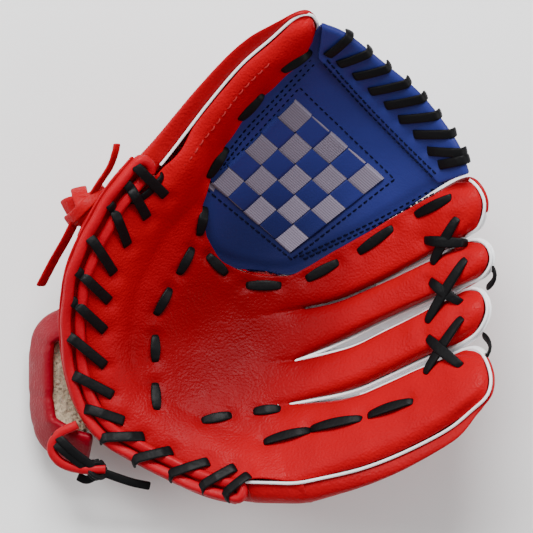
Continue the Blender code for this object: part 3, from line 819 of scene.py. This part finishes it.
# %% Back of the hand
hand_plan = patch([(-63, -36), (-36, -25), (-10, -14), (30, -6)],
                  [(-58, -98), (-30, -110), (-12, -113.5), (30, -112)],
                  [(-63, -36), (-66, -70), (-58, -98)], [(30, -6), (31, -60), (30, -112)], 44, 36)
u, v = np.linspace(0, 1, 45)[:, None], np.linspace(0, 1, 37)[None, :]
edge = np.sqrt(np.clip(1 - np.abs(2 * v - 1) ** 5, 0, 1)) * np.sqrt(np.clip(1 - np.abs(2 * u - 1) ** 6, 0, 1))
depth = BACK_NEAR + 8 * edge + hide_detail(hand_plan[..., 0] + 300, hand_plan[..., 1]) * 0.8
places = lay(hand_plan, depth)
places[..., 2] = np.maximum(places[..., 2], 0.0)
hand_shell = dress(thicken(grid("hand_shell", places), 3.0, up=False), RED_OUTSIDE, "crease")
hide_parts("hand_back", "back_crease")

side_line = curve([(22, -118.5), (0, -119), (-12, -118.5), (-30, -114.5), (-50, -106), (-62, -100)], 51)
side_near = np.full(len(side_line), 2.0)
side_bulge = np.full(len(side_line), OUTER_BULGE)
side_wall = gusset("little_side", side_line, side_near, side_near + 25, side_bulge, RED_OUTSIDE, "hand",
                   rows=12, foot=7.0)
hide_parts("little_side_wall")
foot_line = curve([(34, 1), (18, -5.5), (3, -8), (-12, -4), (-25, 4), (-30, 13), (-31, 22)], 51)
foot_near = np.full(len(foot_line), 3.4)
gusset("web_foot_wall", foot_line[::-1], foot_near, foot_near + 22.5, np.full(len(foot_line), 1.2),
       RED_OUTSIDE, "crease", rows=12)
print("thumb and back done")

# %% [markdown]
# ## The web
# The web is one blue panel laced into the gap between thumb and index finger, with a folded band along its
# free edge. The panel could be one flat patch; it runs a little under the hide on both sides instead, as
# the real one does, so that no gap opens when the glove closes.

# %% Web panel
WEB_THUMB_EDGE = [(3, -6), (-18, -1), (-29, 9), (-30.5, 29), (-20, 56), (-6.5, 75), (11.5, 94), (24.5, 106),
                  (33, 119)]
WEB_INDEX_EDGE = [(3, -6), (18, -5), (37, 5), (55, 15), (80, 30), (98, 41), (110, 45.5)]
WEB_TOP_EDGE = [(33, 125), (47, 119), (66, 104), (85, 88), (100, 69), (107, 57), (110.5, 46)]
BAND_INNER = [(31, 107), (60, 76), (95, 41)]
WEB_DEPTH = 1.2
UNDER_HIDE = 3.0
BAND_RIM = 1.2

thumb_edge, index_edge = curve(WEB_THUMB_EDGE, 65), curve(WEB_INDEX_EDGE, 65)
thumb_under = thumb_edge + outward(thumb_edge) * UNDER_HIDE * ease(np.linspace(0, 8, 65))[:, None]
index_under = index_edge - outward(index_edge) * UNDER_HIDE * ease(np.linspace(0, 8, 65))[:, None]
panel_plan = patch(thumb_under, index_under, [thumb_under[0], index_under[0]], WEB_TOP_EDGE, 64, 48)
rough = np.array([noise.noise(Vector((x / 22, y / 22, 9.0))) for x, y in panel_plan.reshape(-1, 2)])
away = np.minimum(distance_to(thumb_edge, panel_plan[..., 0], panel_plan[..., 1]),
                  distance_to(index_edge, panel_plan[..., 0], panel_plan[..., 1]))
panel_depth = WEB_DEPTH + 0.5 * rough.reshape(panel_plan.shape[:2]) + 1.5 * (1 - ease((away - 1) / 6))
panel = thicken(grid("web_sheet", lay(panel_plan, panel_depth)), 1.6)
dress(panel, BLUE, "crease")
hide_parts("web_panel")

top_edge = curve(WEB_TOP_EDGE, 61)
top_in = -outward(top_edge)
t = np.linspace(0, 1, 25)[None, :, None]
inner_line = curve(BAND_INNER, 61)
web_rim = top_edge - top_in * BAND_RIM
band_plan = web_rim[:, None] * (1 - t) + inner_line[:, None] * t
round_edge = 2.6 * (1 - np.sqrt(np.clip(1 - (1 - np.clip(t[..., 0] / 0.12, 0, 1)) ** 2, 0, 1)))
inner_edge = 1.9 * ease((t[..., 0] - 0.9) / 0.1)
pull = np.zeros(band_plan.shape[:2])
for (hole_x, hole_y), _ in WEB_WRAPS:
    pull += 1.1 * np.exp(-((band_plan[..., 0] - hole_x) ** 2 + (band_plan[..., 1] - hole_y) ** 2) / 10)
band = grid("web_band", lay(band_plan, -0.9 + round_edge + inner_edge + pull))
band = thicken(band, 1.9)
dress(band, BLUE, "crease")
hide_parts("web_top_band")


# %% [markdown]
# ## Stitching
# A seam could be a texture, but thread that stands up from the leather catches the light. Each stitch is a
# short thin sweep whose middle rises and whose ends dip, and all of one thread are joined into one piece.

# %% Stitching
def stitches(name, lines, lift, finish, length=2.6, gap=1.0, radius=0.42):
    """Rows of thread stitches along plan lines. lift() gives the depth of the leather under them."""
    parts = []
    arch = np.array([0.35, -0.15, -0.3, -0.15, 0.35])
    for line in lines:
        total = np.linalg.norm(np.diff(curve(line, 60), axis=0), axis=1).sum()
        count = max(2, round(total / (length + gap)))
        fine = curve(line, count * 6 + 1)
        for k in range(count):
            piece = fine[k * 6:k * 6 + 5]
            depth = lift(piece[:, 0], piece[:, 1]) + arch
            places = hang(piece[:, 0], piece[:, 1], depth)
            parts.append(sweep(name, places, (0, 0, 1), 2 * radius, 2 * radius, corners=6))
    made = joined(name, parts)
    smooth(made, 60)
    return dress(made, finish, "crease")


DIAMOND = [(21.5, 92), (72, 43.5), (17, 0.5), (-29, 38)]
web_rows = [[(92, 38), (60, 20.5), (20, 1.5)], [(93.5, 36), (61, 18.5), (22, 0)]]
web_rows += [[(28, 106), (8, 85), (-9, 67), (-24, 46)], [(29.5, 104), (10, 84), (-7, 66), (-22, 46)]]
web_rows += [[a, b] for a, b in zip(DIAMOND, DIAMOND[1:] + DIAMOND[:1])]


def depth_on(tree):
    """A function that gives the depth of a finished face at plan points, by landing on it."""
    def depth(x, y):
        rise = [land(tree, a, b)[0][2] - hang(a, b, 0.0)[2] for a, b in zip(x, y)]
        return -np.array(rise) / MM * 0.9 - 0.05
    return depth


band_rows = [[tuple(p) for p in (inner_line + shift)[2:-2]] for shift in ((1.2, 1.2), (3.0, 3.0))]
stitches("web_stitches", web_rows + band_rows, depth_on(tree_of(panel, band)), BLUE_THREAD)
THUMB_SEAM = [(-47, 49), (-38, 59), (-28.5, 70), (-15, 87.5), (-5, 98.5), (5.5, 108.5)]
stitches("thumb_stitches", [THUMB_SEAM], depth_on(leather), RED_THREAD, length=3.4, gap=1.6)

# %% [markdown]
# ## The checker weave
# A checker pattern could be painted on. Here five blue leather strips pass over and under five grey ribbons,
# each rising and dipping by a cosine, so that the light catches every crossing.

# %% Weave
CHECKER = {"pocket": (-26, 41.5), "index": (16.5, 4), "thumb": (18.5, 86), "tip": (66.5, 43.5)}
CELLS = 5
WEAVE_RISE = 0.5


def checker_point(s, t):
    """Plan point in the checker: s from the pocket to the thumb side, t from the pocket to the index side."""
    pocket, index, thumb, tip = (np.array(CHECKER[key], float) for key in ("pocket", "index", "thumb", "tip"))
    s, t = np.asarray(s, float)[..., None], np.asarray(t, float)[..., None]
    return (1 - s) * (1 - t) * pocket + s * (1 - t) * thumb + (1 - s) * t * index + s * t * tip


def woven_strip(name, lane, along_s, finish):
    """One strip of the weave. It is over where lane + cell is even for ribbon, and under elsewhere."""
    over = 0 if along_s else 1
    steps = 100
    run = np.linspace(-0.05, 1.05, steps + 1)[:, None]
    cross = (lane + np.linspace(0.035, 0.965, 7)[None, :]) / CELLS
    cell = np.clip(run * CELLS - 0.5, 0, CELLS - 1)
    phase = np.cos(np.pi * (cell - lane - over))
    rise = WEAVE_RISE * np.sign(phase) * np.abs(phase) ** 0.3
    inside = ease((0.5 - np.abs(run - 0.5) + 0.02) / 0.03)
    rise = rise * inside - 2.0 * (1 - inside)
    s, t = (run, cross) if along_s else (cross, run)
    s, t = np.broadcast_arrays(s, t)
    plan = checker_point(s, t)
    crown = 0.2 * (1 - (2 * (cross * CELLS - lane) - 1) ** 2)
    piece = thicken(grid(name, lay(plan, WEB_DEPTH - 1.0 - rise - crown)), 0.55, levels=0)
    return dress(piece, finish, "crease")


for lane in range(CELLS):
    ribbon = woven_strip(f"ribbon_{lane}", lane, True, RIBBON)
    woven_strip(f"web_strip_{lane}", lane, False, BLUE)
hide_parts("web_weave")
print("web done")

# %% [markdown]
# ## Heel bindings
# Two parallel rolls bind the heel edge from the thumb round to the little finger, where the hand goes in.
# Each is a cord of padding wrapped in red hide. Both are swept as one closed ring along the heel edge, close
# in on the way out and lower and further out on the way back, over a tape that closes the gap between them.

# %% Heel rolls
ROLL = 3.0
HEEL_ROLL_START = (-57.5, 46)
HEEL_STEPS = 121
heel_line = curve([HEEL_ROLL_START, *HEEL_EDGE[1:]], HEEL_STEPS)
heel_out = -outward(heel_line) if outward(heel_line)[60, 0] > 0 else outward(heel_line)


def roll_line(out, depth):
    """Plan and depth along one roll, with small waves where the lace grips it."""
    wave = 0.3 * np.sin(np.arange(HEEL_STEPS) * 0.55)
    return np.column_stack([heel_line + heel_out * out, depth + wave])


inner, outer = roll_line(1.6, 1.2), roll_line(7.4, 4.2)


def turn_round(first, second, along):
    """A half circle from the end of one roll to the end of the other."""
    angles = np.linspace(0, np.pi, 9)[1:-1, None]
    middle, half = (first + second) / 2, (first - second) / 2
    reach = np.array([*along, 0.0]) * np.linalg.norm(half[:2])
    return middle + half * np.cos(angles) + reach * np.sin(angles)


start_way = (heel_line[0] - heel_line[2]) / np.linalg.norm(heel_line[0] - heel_line[2])
end_way = (heel_line[-1] - heel_line[-3]) / np.linalg.norm(heel_line[-1] - heel_line[-3])
ring = np.vstack([inner, turn_round(inner[-1], outer[-1], end_way), outer[::-1],
                  turn_round(outer[0], inner[0], start_way), inner[:1]])
heel_roll = dress(cord("heel_roll", hang(*ring.T), ROLL, corners=16), RED_SOFT, "crease")
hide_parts("thumb_heel_inner_roll", "little_heel_inner_roll", "thumb_heel_outer_roll",
            "little_heel_outer_roll")
t = np.linspace(0, 1, 9)[None, :]
under = heel_line[:, None] + heel_out[:, None] * (-2.0 + 11.5 * t[..., None])
dress(thicken(grid("heel_tape", lay(under, 3.2 + 3.4 * t)), 1.5), RED_SOFT, "crease")

# %% [markdown]
# ## Laces
# One long black thong is threaded through the whole glove. Where it shows it lies taut over the leather, so
# its line is found by landing on the leather and then pulling it straight wherever it would dip. The ends of
# each stitch turn down into their holes.

# %% Laces
LACE_WIDTH, LACE_THICK = 5.8, 1.7
HOLE_LIP, HOLE_END = 0.9 * MM, 2.6 * MM  # how far an end turns down into its hole
surface = tree_of(hide, heel_roll, band, panel)


def lace_line(a, b, count, lift, over=0.0):
    """Places of one visible stitch from plan point a to b, lying taut on the leather."""
    a, b = np.array(a, float), np.array(b, float)
    plan = a + (b - a) * np.linspace(0, 1, count)[:, None]
    places = np.array([land(surface, x, y)[0] for x, y in plan])
    for _ in range(60):
        places[1:-1, 2] = np.maximum(places[1:-1, 2], (places[:-2, 2] + places[2:, 2]) / 2)
    up = hang(*((a + b) / 2), -1.0) - hang(*((a + b) / 2), 0.0)
    up = up / np.linalg.norm(up)
    arch = np.sin(np.linspace(0, np.pi, count))[:, None]
    return places + up * (lift + over * arch) * MM, up


def stitch_of_lace(name, a, b, over=0.4, width=LACE_WIDTH, count=17):
    """A stitch whose two ends turn down into their holes."""
    places, up = lace_line(a, b, count, 0.75, over)
    step = (places[-1] - places[0]) / np.linalg.norm(places[-1] - places[0]) * MM
    first, last = places[0], places[-1]
    places = np.vstack([first - up * HOLE_END - step * 0.3, first - up * HOLE_LIP - step * 0.4, places[1:-1],
                        last - up * HOLE_LIP + step * 0.4, last - up * HOLE_END + step * 0.3])
    return sweep(name, places, up, width, LACE_THICK, taper=0.5)


def lace_set(name, parts, node=None, body="crease"):
    """Joins stitches into one black piece that stands for the given nodes."""
    made = joined(name, parts)
    subdivide(made)
    smooth(made, 60)
    dress(made, BLACK, body)
    if node:
        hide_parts(*node)
    return made


def wrap_of_lace(name, outer, inner, width=LACE_WIDTH, brim=1.0, tuck=1.6):
    """A turn of lace from under an edge, over it, to a hole."""
    outer, inner = np.array(outer, float), np.array(inner, float)
    away = (outer - inner) / np.linalg.norm(outer - inner)
    outer = outer - away * brim
    places, up = lace_line(outer - away * 1.6, inner, 17, 0.85, 0.5)
    turn_down = [hang(*(outer - away * 0.5), tuck + 5.0), hang(*(outer + away * 0.3), tuck + 2.4),
                 hang(*(outer - away * 0.3), tuck)]
    places = np.vstack([*turn_down, places[:-1], places[-1] - up * HOLE_LIP, places[-1] - up * HOLE_END])
    facing = hang(*(outer + away), 0.0) - hang(*outer, 0.0)
    return sweep(name, curve(places, 31), facing, width, LACE_THICK)


heel_wraps = [wrap_of_lace("wrap", outer, inner) for outer, inner in HEEL_WRAPS]
heel_wraps.append(stitch_of_lace("crossing", *HEEL_CROSSING, over=1.8))
lace_set("heel_laces", heel_wraps, ("thumb_heel_lace", "little_heel_lace"))


def leaves(hole, beyond, border):
    """Where the line from a hole through a plan point crosses a border line."""
    hole, beyond = np.array(hole, float), np.array(beyond, float)
    line = hole + (beyond - hole) * np.linspace(0.5, 1.4, 60)[:, None]
    gaps = np.linalg.norm(line[:, None] - np.asarray(border)[None], axis=2).min(axis=1)
    return line[int(np.argmin(gaps))]


web_wraps = [wrap_of_lace("wrap", leaves(hole, edge, web_rim), hole, 5.4, 0.0, -0.4)
             for hole, edge in WEB_WRAPS]
lace_set("web_edge_laces", web_wraps, ("web_lace",))
for name, stitch_list, over, nodes, body in (
        ("thumb_web_laces", THUMB_STITCHES, 0.4, ("thumb_web_lace",), "crease"),
        ("palm_laces", PALM_STITCHES, 0.4, ("palm_lace", "thumb_palm_lace"), "crease"),
        ("pocket_laces", POCKET_STITCHES, 0.4, ("pocket_lace",), "crease"),
        ("index_laces", INDEX_STITCHES, 0.4, ("index_web_lace",), "hand"),
        ("little_laces", LITTLE_STITCHES, 1.4, ("little_lace",), "hand")):
    lace_set(name, [stitch_of_lace("stitch", a, b, over) for a, b in stitch_list], nodes, body)
for k, (first, second) in enumerate(CROSSES):
    arms = [stitch_of_lace("arm", *arm, over=over, width=6.4) for arm, over in ((first, 0.6), (second, 2.0))]
    lace_set(f"tip_cross_{k + 1}", arms, (f"tip_lace_{k + 1}",), "hand")
behind = [sweep("behind", hang(*np.array(line, float).T), (1, 0, 0), 5.0, LACE_THICK) for line in (
    [(115, -1, 9), (119.5, -4, 8), (121, -8, 8), (119.5, -12, 8), (115, -15, 9)],
    [(113, -38, 9), (117, -41, 8), (118.5, -45, 8), (117, -49, 8), (113, -52, 9)])]
lace_set("fingertip_laces", behind, None, "hand")
print("laces done")

# %% [markdown]
# ## The wrist
# The strap is a padded band of red hide that leaves the thumb side, runs round the outside of the heel and
# comes back under the little finger, with sheepskin-like pile inside. Hair would suit long fibres; a bed
# raised by noise is enough for this short pile and stays one closed mesh.

# %% Wrist strap and pile
STRAP = [(-90, 8, 42), (-94, -8, 37), (-98, -24, 31), (-105, -33, 28), (-114, -38, 26), (-118.3, -46, 25),
         (-119, -62, 24), (-118.5, -80, 24), (-115.5, -92, 26), (-106, -99, 31), (-92, -104, 33)]
STRAP_WIDTH, STRAP_THICK = 26, 6.5
STRAP_FOLDS = (-46, -74, -91)  # plan y of the creases across the strap


def placed(points, count):
    """A smooth line in metres through points in the glove's own millimetres."""
    return (curve(points, count) - BOX_CENTRE) * MM


def upright(name, points, width, thick, lean=(0.35, 0.1, 1.0), corners=16):
    """A band that stands on edge along a path: its wide way follows lean."""
    line = placed(points, 60)
    tangent = np.gradient(line, axis=0)
    tangent /= np.linalg.norm(tangent, axis=1)[:, None]
    lean = np.array(lean, float) / np.linalg.norm(lean)
    return sweep(name, line, np.cross(tangent[0], lean), width, thick, corners)


strap = upright("strap_band", STRAP, STRAP_WIDTH, STRAP_THICK, corners=20)
co = points_of(strap)
normals = np.array([v.normal[:] for v in strap.data.vertices])
plan_y = co[:, 1] / MM + BOX_CENTRE[1]
fold_marks = sum(np.exp(-((plan_y - at) / 1.6) ** 2) for at in STRAP_FOLDS)
co -= normals * (fold_marks * 0.9 * MM)[:, None]
strap.data.vertices.foreach_set("co", co.ravel())
subdivide(strap)
smooth(strap, 60)
dress(strap, RED_STRAP_SHADED, "crease")
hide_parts("wrist_strap")

PILE_OUTER = [(-95, -22, 33), (-109, -42, 30), (-115, -60, 29), (-115, -78, 29), (-107, -93, 31)]
PILE_INNER = [(-82, -26, 24), (-90, -46, 22), (-91, -60, 21), (-89, -76, 21), (-80, -90, 23)]
outer_side, inner_side = curve(PILE_OUTER, 161), curve(PILE_INNER, 161)
t = np.linspace(0, 1, 61)[None, :, None]
bed = (outer_side[:, None] * (1 - t) + inner_side[:, None] * t - BOX_CENTRE) * MM
tuft = np.array([noise.noise(Vector((p[0] * 420, p[1] * 150, 2.0))) + 0.7 * noise.noise(Vector(p) * 520)
                 + 0.5 * noise.noise(Vector((p[0] * 1500, p[1] * 700, 7.0))) for p in bed.reshape(-1, 3)])
bed[..., 2] += (tuft.reshape(bed.shape[:2]) * 1.6 + 1.5 * np.sin(np.pi * t[..., 0])) * MM
pile = dress(thicken(grid("strap_pile", bed), 4.0, levels=0), FLEECE, "crease")
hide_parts("strap_fleece")

# %% [markdown]
# ## Loop, knots and tails
# A loop of hide and a knot of lace close the strap at the little finger, and a red tie hangs at the thumb.
# A real knot is one cord passed through itself. At this size only its outer turns show, so a few crossing
# strips stand for it.

# %% Little loop, knots and tails
LOOP = [(-99, -89, 46), (-109, -94, 45), (-113, -102, 43), (-108, -109.5, 42), (-97, -113, 41), (-84, -113, 40)]
thong = dress(cord("little_thong", placed(LOOP, 40), 2.7, 14), RED_SOFT, "hand")
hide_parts("little_loop")


def finished(piece, finish, body):
    """Rounds a swept piece off and dresses it."""
    subdivide(piece)
    smooth(piece, 60)
    return dress(piece, finish, body)


def knot(name, centre, size, finish, body):
    """A tight knot: three short turns of lace wound over each other."""
    parts = []
    for k, (turn, tilt) in enumerate(((0.3, 0.2), (1.3, -0.5), (2.4, 0.6))):
        angles = np.linspace(0, 2 * math.pi, 25)
        winding = np.stack([np.cos(angles) * size[0], np.sin(angles) * size[1] * math.cos(tilt),
                            np.sin(angles) * size[2] * (0.6 + 0.4 * math.sin(tilt))], axis=1)
        winding = winding * (0.62 + 0.05 * k)
        spin = np.array([[math.cos(turn), -math.sin(turn), 0], [math.sin(turn), math.cos(turn), 0], [0, 0, 1]])
        line = (np.array(centre) + winding @ spin.T - BOX_CENTRE) * MM
        parts.append(sweep(name, line, (0, 0, 1), size[2] * 0.8, size[2] * 0.55, 8))
    return finished(joined(name, parts), finish, body)


black_knot = knot("little_knot", (-88.5, -113.5, 40), (7, 5.5, 4), BLACK, "hand")
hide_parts("lace_knot")
tail_lines = [[(-85, -115, 40), (-78, -117.5, 39), (-69, -120.5, 36), (-59.5, -122.5, 33)],
              [(-90, -112, 42), (-100, -104.5, 46), (-107, -98, 47), (-112, -93, 45)],
              [(-92, -114.5, 41), (-101, -107.5, 45), (-109, -101, 46), (-113, -96, 43)],
              [(-88, -116, 38), (-94, -119, 36), (-99, -117, 36)]]
tails = [sweep("tail", placed(line, 20), (0, 0, 1), 4.8, 1.6) for line in tail_lines]
lace_set("little_tails", tails, ("lace_tail",), "hand")

turns = [sweep("turn", placed(line, 24), (0, 0, 1), width, 2.6, 12) for line, width in (
    ([(-105, 27, 63), (-101, 29, 68.5), (-94, 30, 71.5), (-87, 33, 70), (-83, 36, 65)], 12.0),
    ([(-98, 39, 65), (-97, 35, 71), (-95, 29, 74), (-95, 23, 71), (-97, 19, 65)], 9.0),
    ([(-104, 21, 64), (-100, 24, 71), (-95, 29, 75.2), (-89, 35, 73), (-86, 40, 68)], 6.5))]
red_knot = finished(joined("tie_turns", turns), RED_OUTSIDE, "thumb")
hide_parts("tie_knot")
bow_line = placed([(-92, 33, 71), (-87, 41, 75), (-81, 50, 78), (-78, 58, 81), (-77, 63, 82)], 40)
bow = finished(sweep("tie_bow", bow_line, (0.8, -0.5, 0.6), 5.5, 1.8), RED_OUTSIDE, "thumb")
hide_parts("tie_loop")
tail_line = placed([(-99, 23, 67), (-104.5, 12, 61.5), (-111.5, 0, 54), (-119, -14, 46.5)], 30)
tail = finished(sweep("tie_end", tail_line, (0.7, 0.2, 0.7), 7.0, 1.8), RED_OUTSIDE, "tie")
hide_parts("tie_tail")

# %% [markdown]
# ## Inside
# The felt pads, linings and stiffeners are hidden between the hide and the back, or seen only through the
# wrist. Linings and pads are remade as thin sheets that follow the same two outlines. The two stiffeners
# are hard sheets, so their solids are kept as they are and only get a finish.

# %% Inside
PAD_DEPTH, LINING_DEPTH = 3.6, 7.0
little_outline = patch([(-86, -56), (-45, -39), (-10, -26), (12, -18)],
                       [(-72, -85), (-52, -95), (-28, -106), (-10, -110), (10, -110)],
                       [(-86, -56), (-72, -85)], [(12, -18), (10, -110)], 40, 24)
thumb_outline = patch([(-80, -22), (-58, -13), (-38, -2), (-38, 22)],
                      [(-82, -8), (-76, 12), (-60, 34), (-42, 52)],
                      [(-80, -22), (-82, -8)], [(-38, 22), (-42, 52)], 24, 18)
t = np.linspace(0, 1, 19)[None, :]
heel_outline = heel_line[:, None] - heel_out[:, None] * (1.0 + 42.0 * t[..., None])
for name, plan, depth, thickness, finish, node in (
        ("palm_cloth", little_outline, LINING_DEPTH, 0.9, LINING, "palm_lining"),
        ("thumb_cloth", thumb_outline, LINING_DEPTH, 0.9, LINING, "thumb_lining"),
        ("heel_cloth", heel_outline, 2.4 + 4.2 * ease(t * 4.5), 0.4, LINING, None),
        ("thumb_felt", thumb_outline, PAD_DEPTH, 2.6, FELT, "thumb_heel_pad"),
        ("heel_felt", little_outline, PAD_DEPTH, 2.6, FELT, "little_heel_pad")):
    layer = dress(thicken(grid(name, lay(plan, depth)), thickness, up=False), finish, "crease")
    if node:
        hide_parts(node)
for node in ("little_stiffener", "thumb_stiffener"):
    kept = bpy.data.objects[node]
    kept.data.materials.clear()
    kept.data.materials.append(PLASTIC)
print("inside done")

# %% [markdown]
# ## Floor, light and camera
# The glove lies on a plain pale floor under large soft lights, and the camera looks straight down on it
# through a long lens, so that its outline is nearly free of perspective.

# %% Floor, light and camera
bpy.ops.object.select_all(action="DESELECT")
bpy.ops.mesh.primitive_plane_add(size=6.0, location=(0, 0, -0.0002))
floor = bpy.context.active_object
floor.name = "floor"
bpy.ops.object.transform_apply(location=True, rotation=True, scale=True)
floor_paint = bpy.data.materials.new("floor_paint")
floor_paint.use_nodes = True
connect(floor_paint.node_tree.nodes["Principled BSDF"], {"Base Color": (0.93, 0.93, 0.93, 1), "Roughness": 0.9})
floor.data.materials.append(floor_paint)


def area_light(name, place, turn, size, power):
    """A rectangular soft light; turn is in degrees."""
    bpy.ops.object.light_add(type="AREA", location=place, rotation=[math.radians(a) for a in turn])
    light = bpy.context.active_object
    light.name = name
    light.data.shape = "RECTANGLE"
    light.data.size, light.data.size_y = size
    light.data.energy = power


area_light("top_light", (-0.1, 1.0, 1.25), (-39, -3, 0), (0.9, 0.7), 44.0)
area_light("left_light", (-1.2, 0.3, 0.9), (-16, -52, 0), (0.7, 0.5), 9.0)
area_light("right_light", (1.3, -0.1, 0.9), (5, 55, 0), (0.8, 0.6), 10.0)
world = bpy.data.worlds.new("studio")
world.use_nodes = True
connect(world.node_tree.nodes["Background"], {"Color": (1, 1, 1, 1), "Strength": 0.42})
bpy.context.scene.world = world

VIEW_WIDTH, AIM_HEIGHT, CAMERA_HEIGHT, SENSOR = 0.288, 0.06, 6.0, 36.0
bpy.ops.object.camera_add(location=(0.003, -0.006, CAMERA_HEIGHT), rotation=(0, 0, 0))
camera = bpy.context.active_object
camera.data.sensor_width = SENSOR
camera.data.lens = SENSOR * (CAMERA_HEIGHT - AIM_HEIGHT) / VIEW_WIDTH
bpy.context.scene.camera = camera
print("camera lens", round(camera.data.lens), "mm")
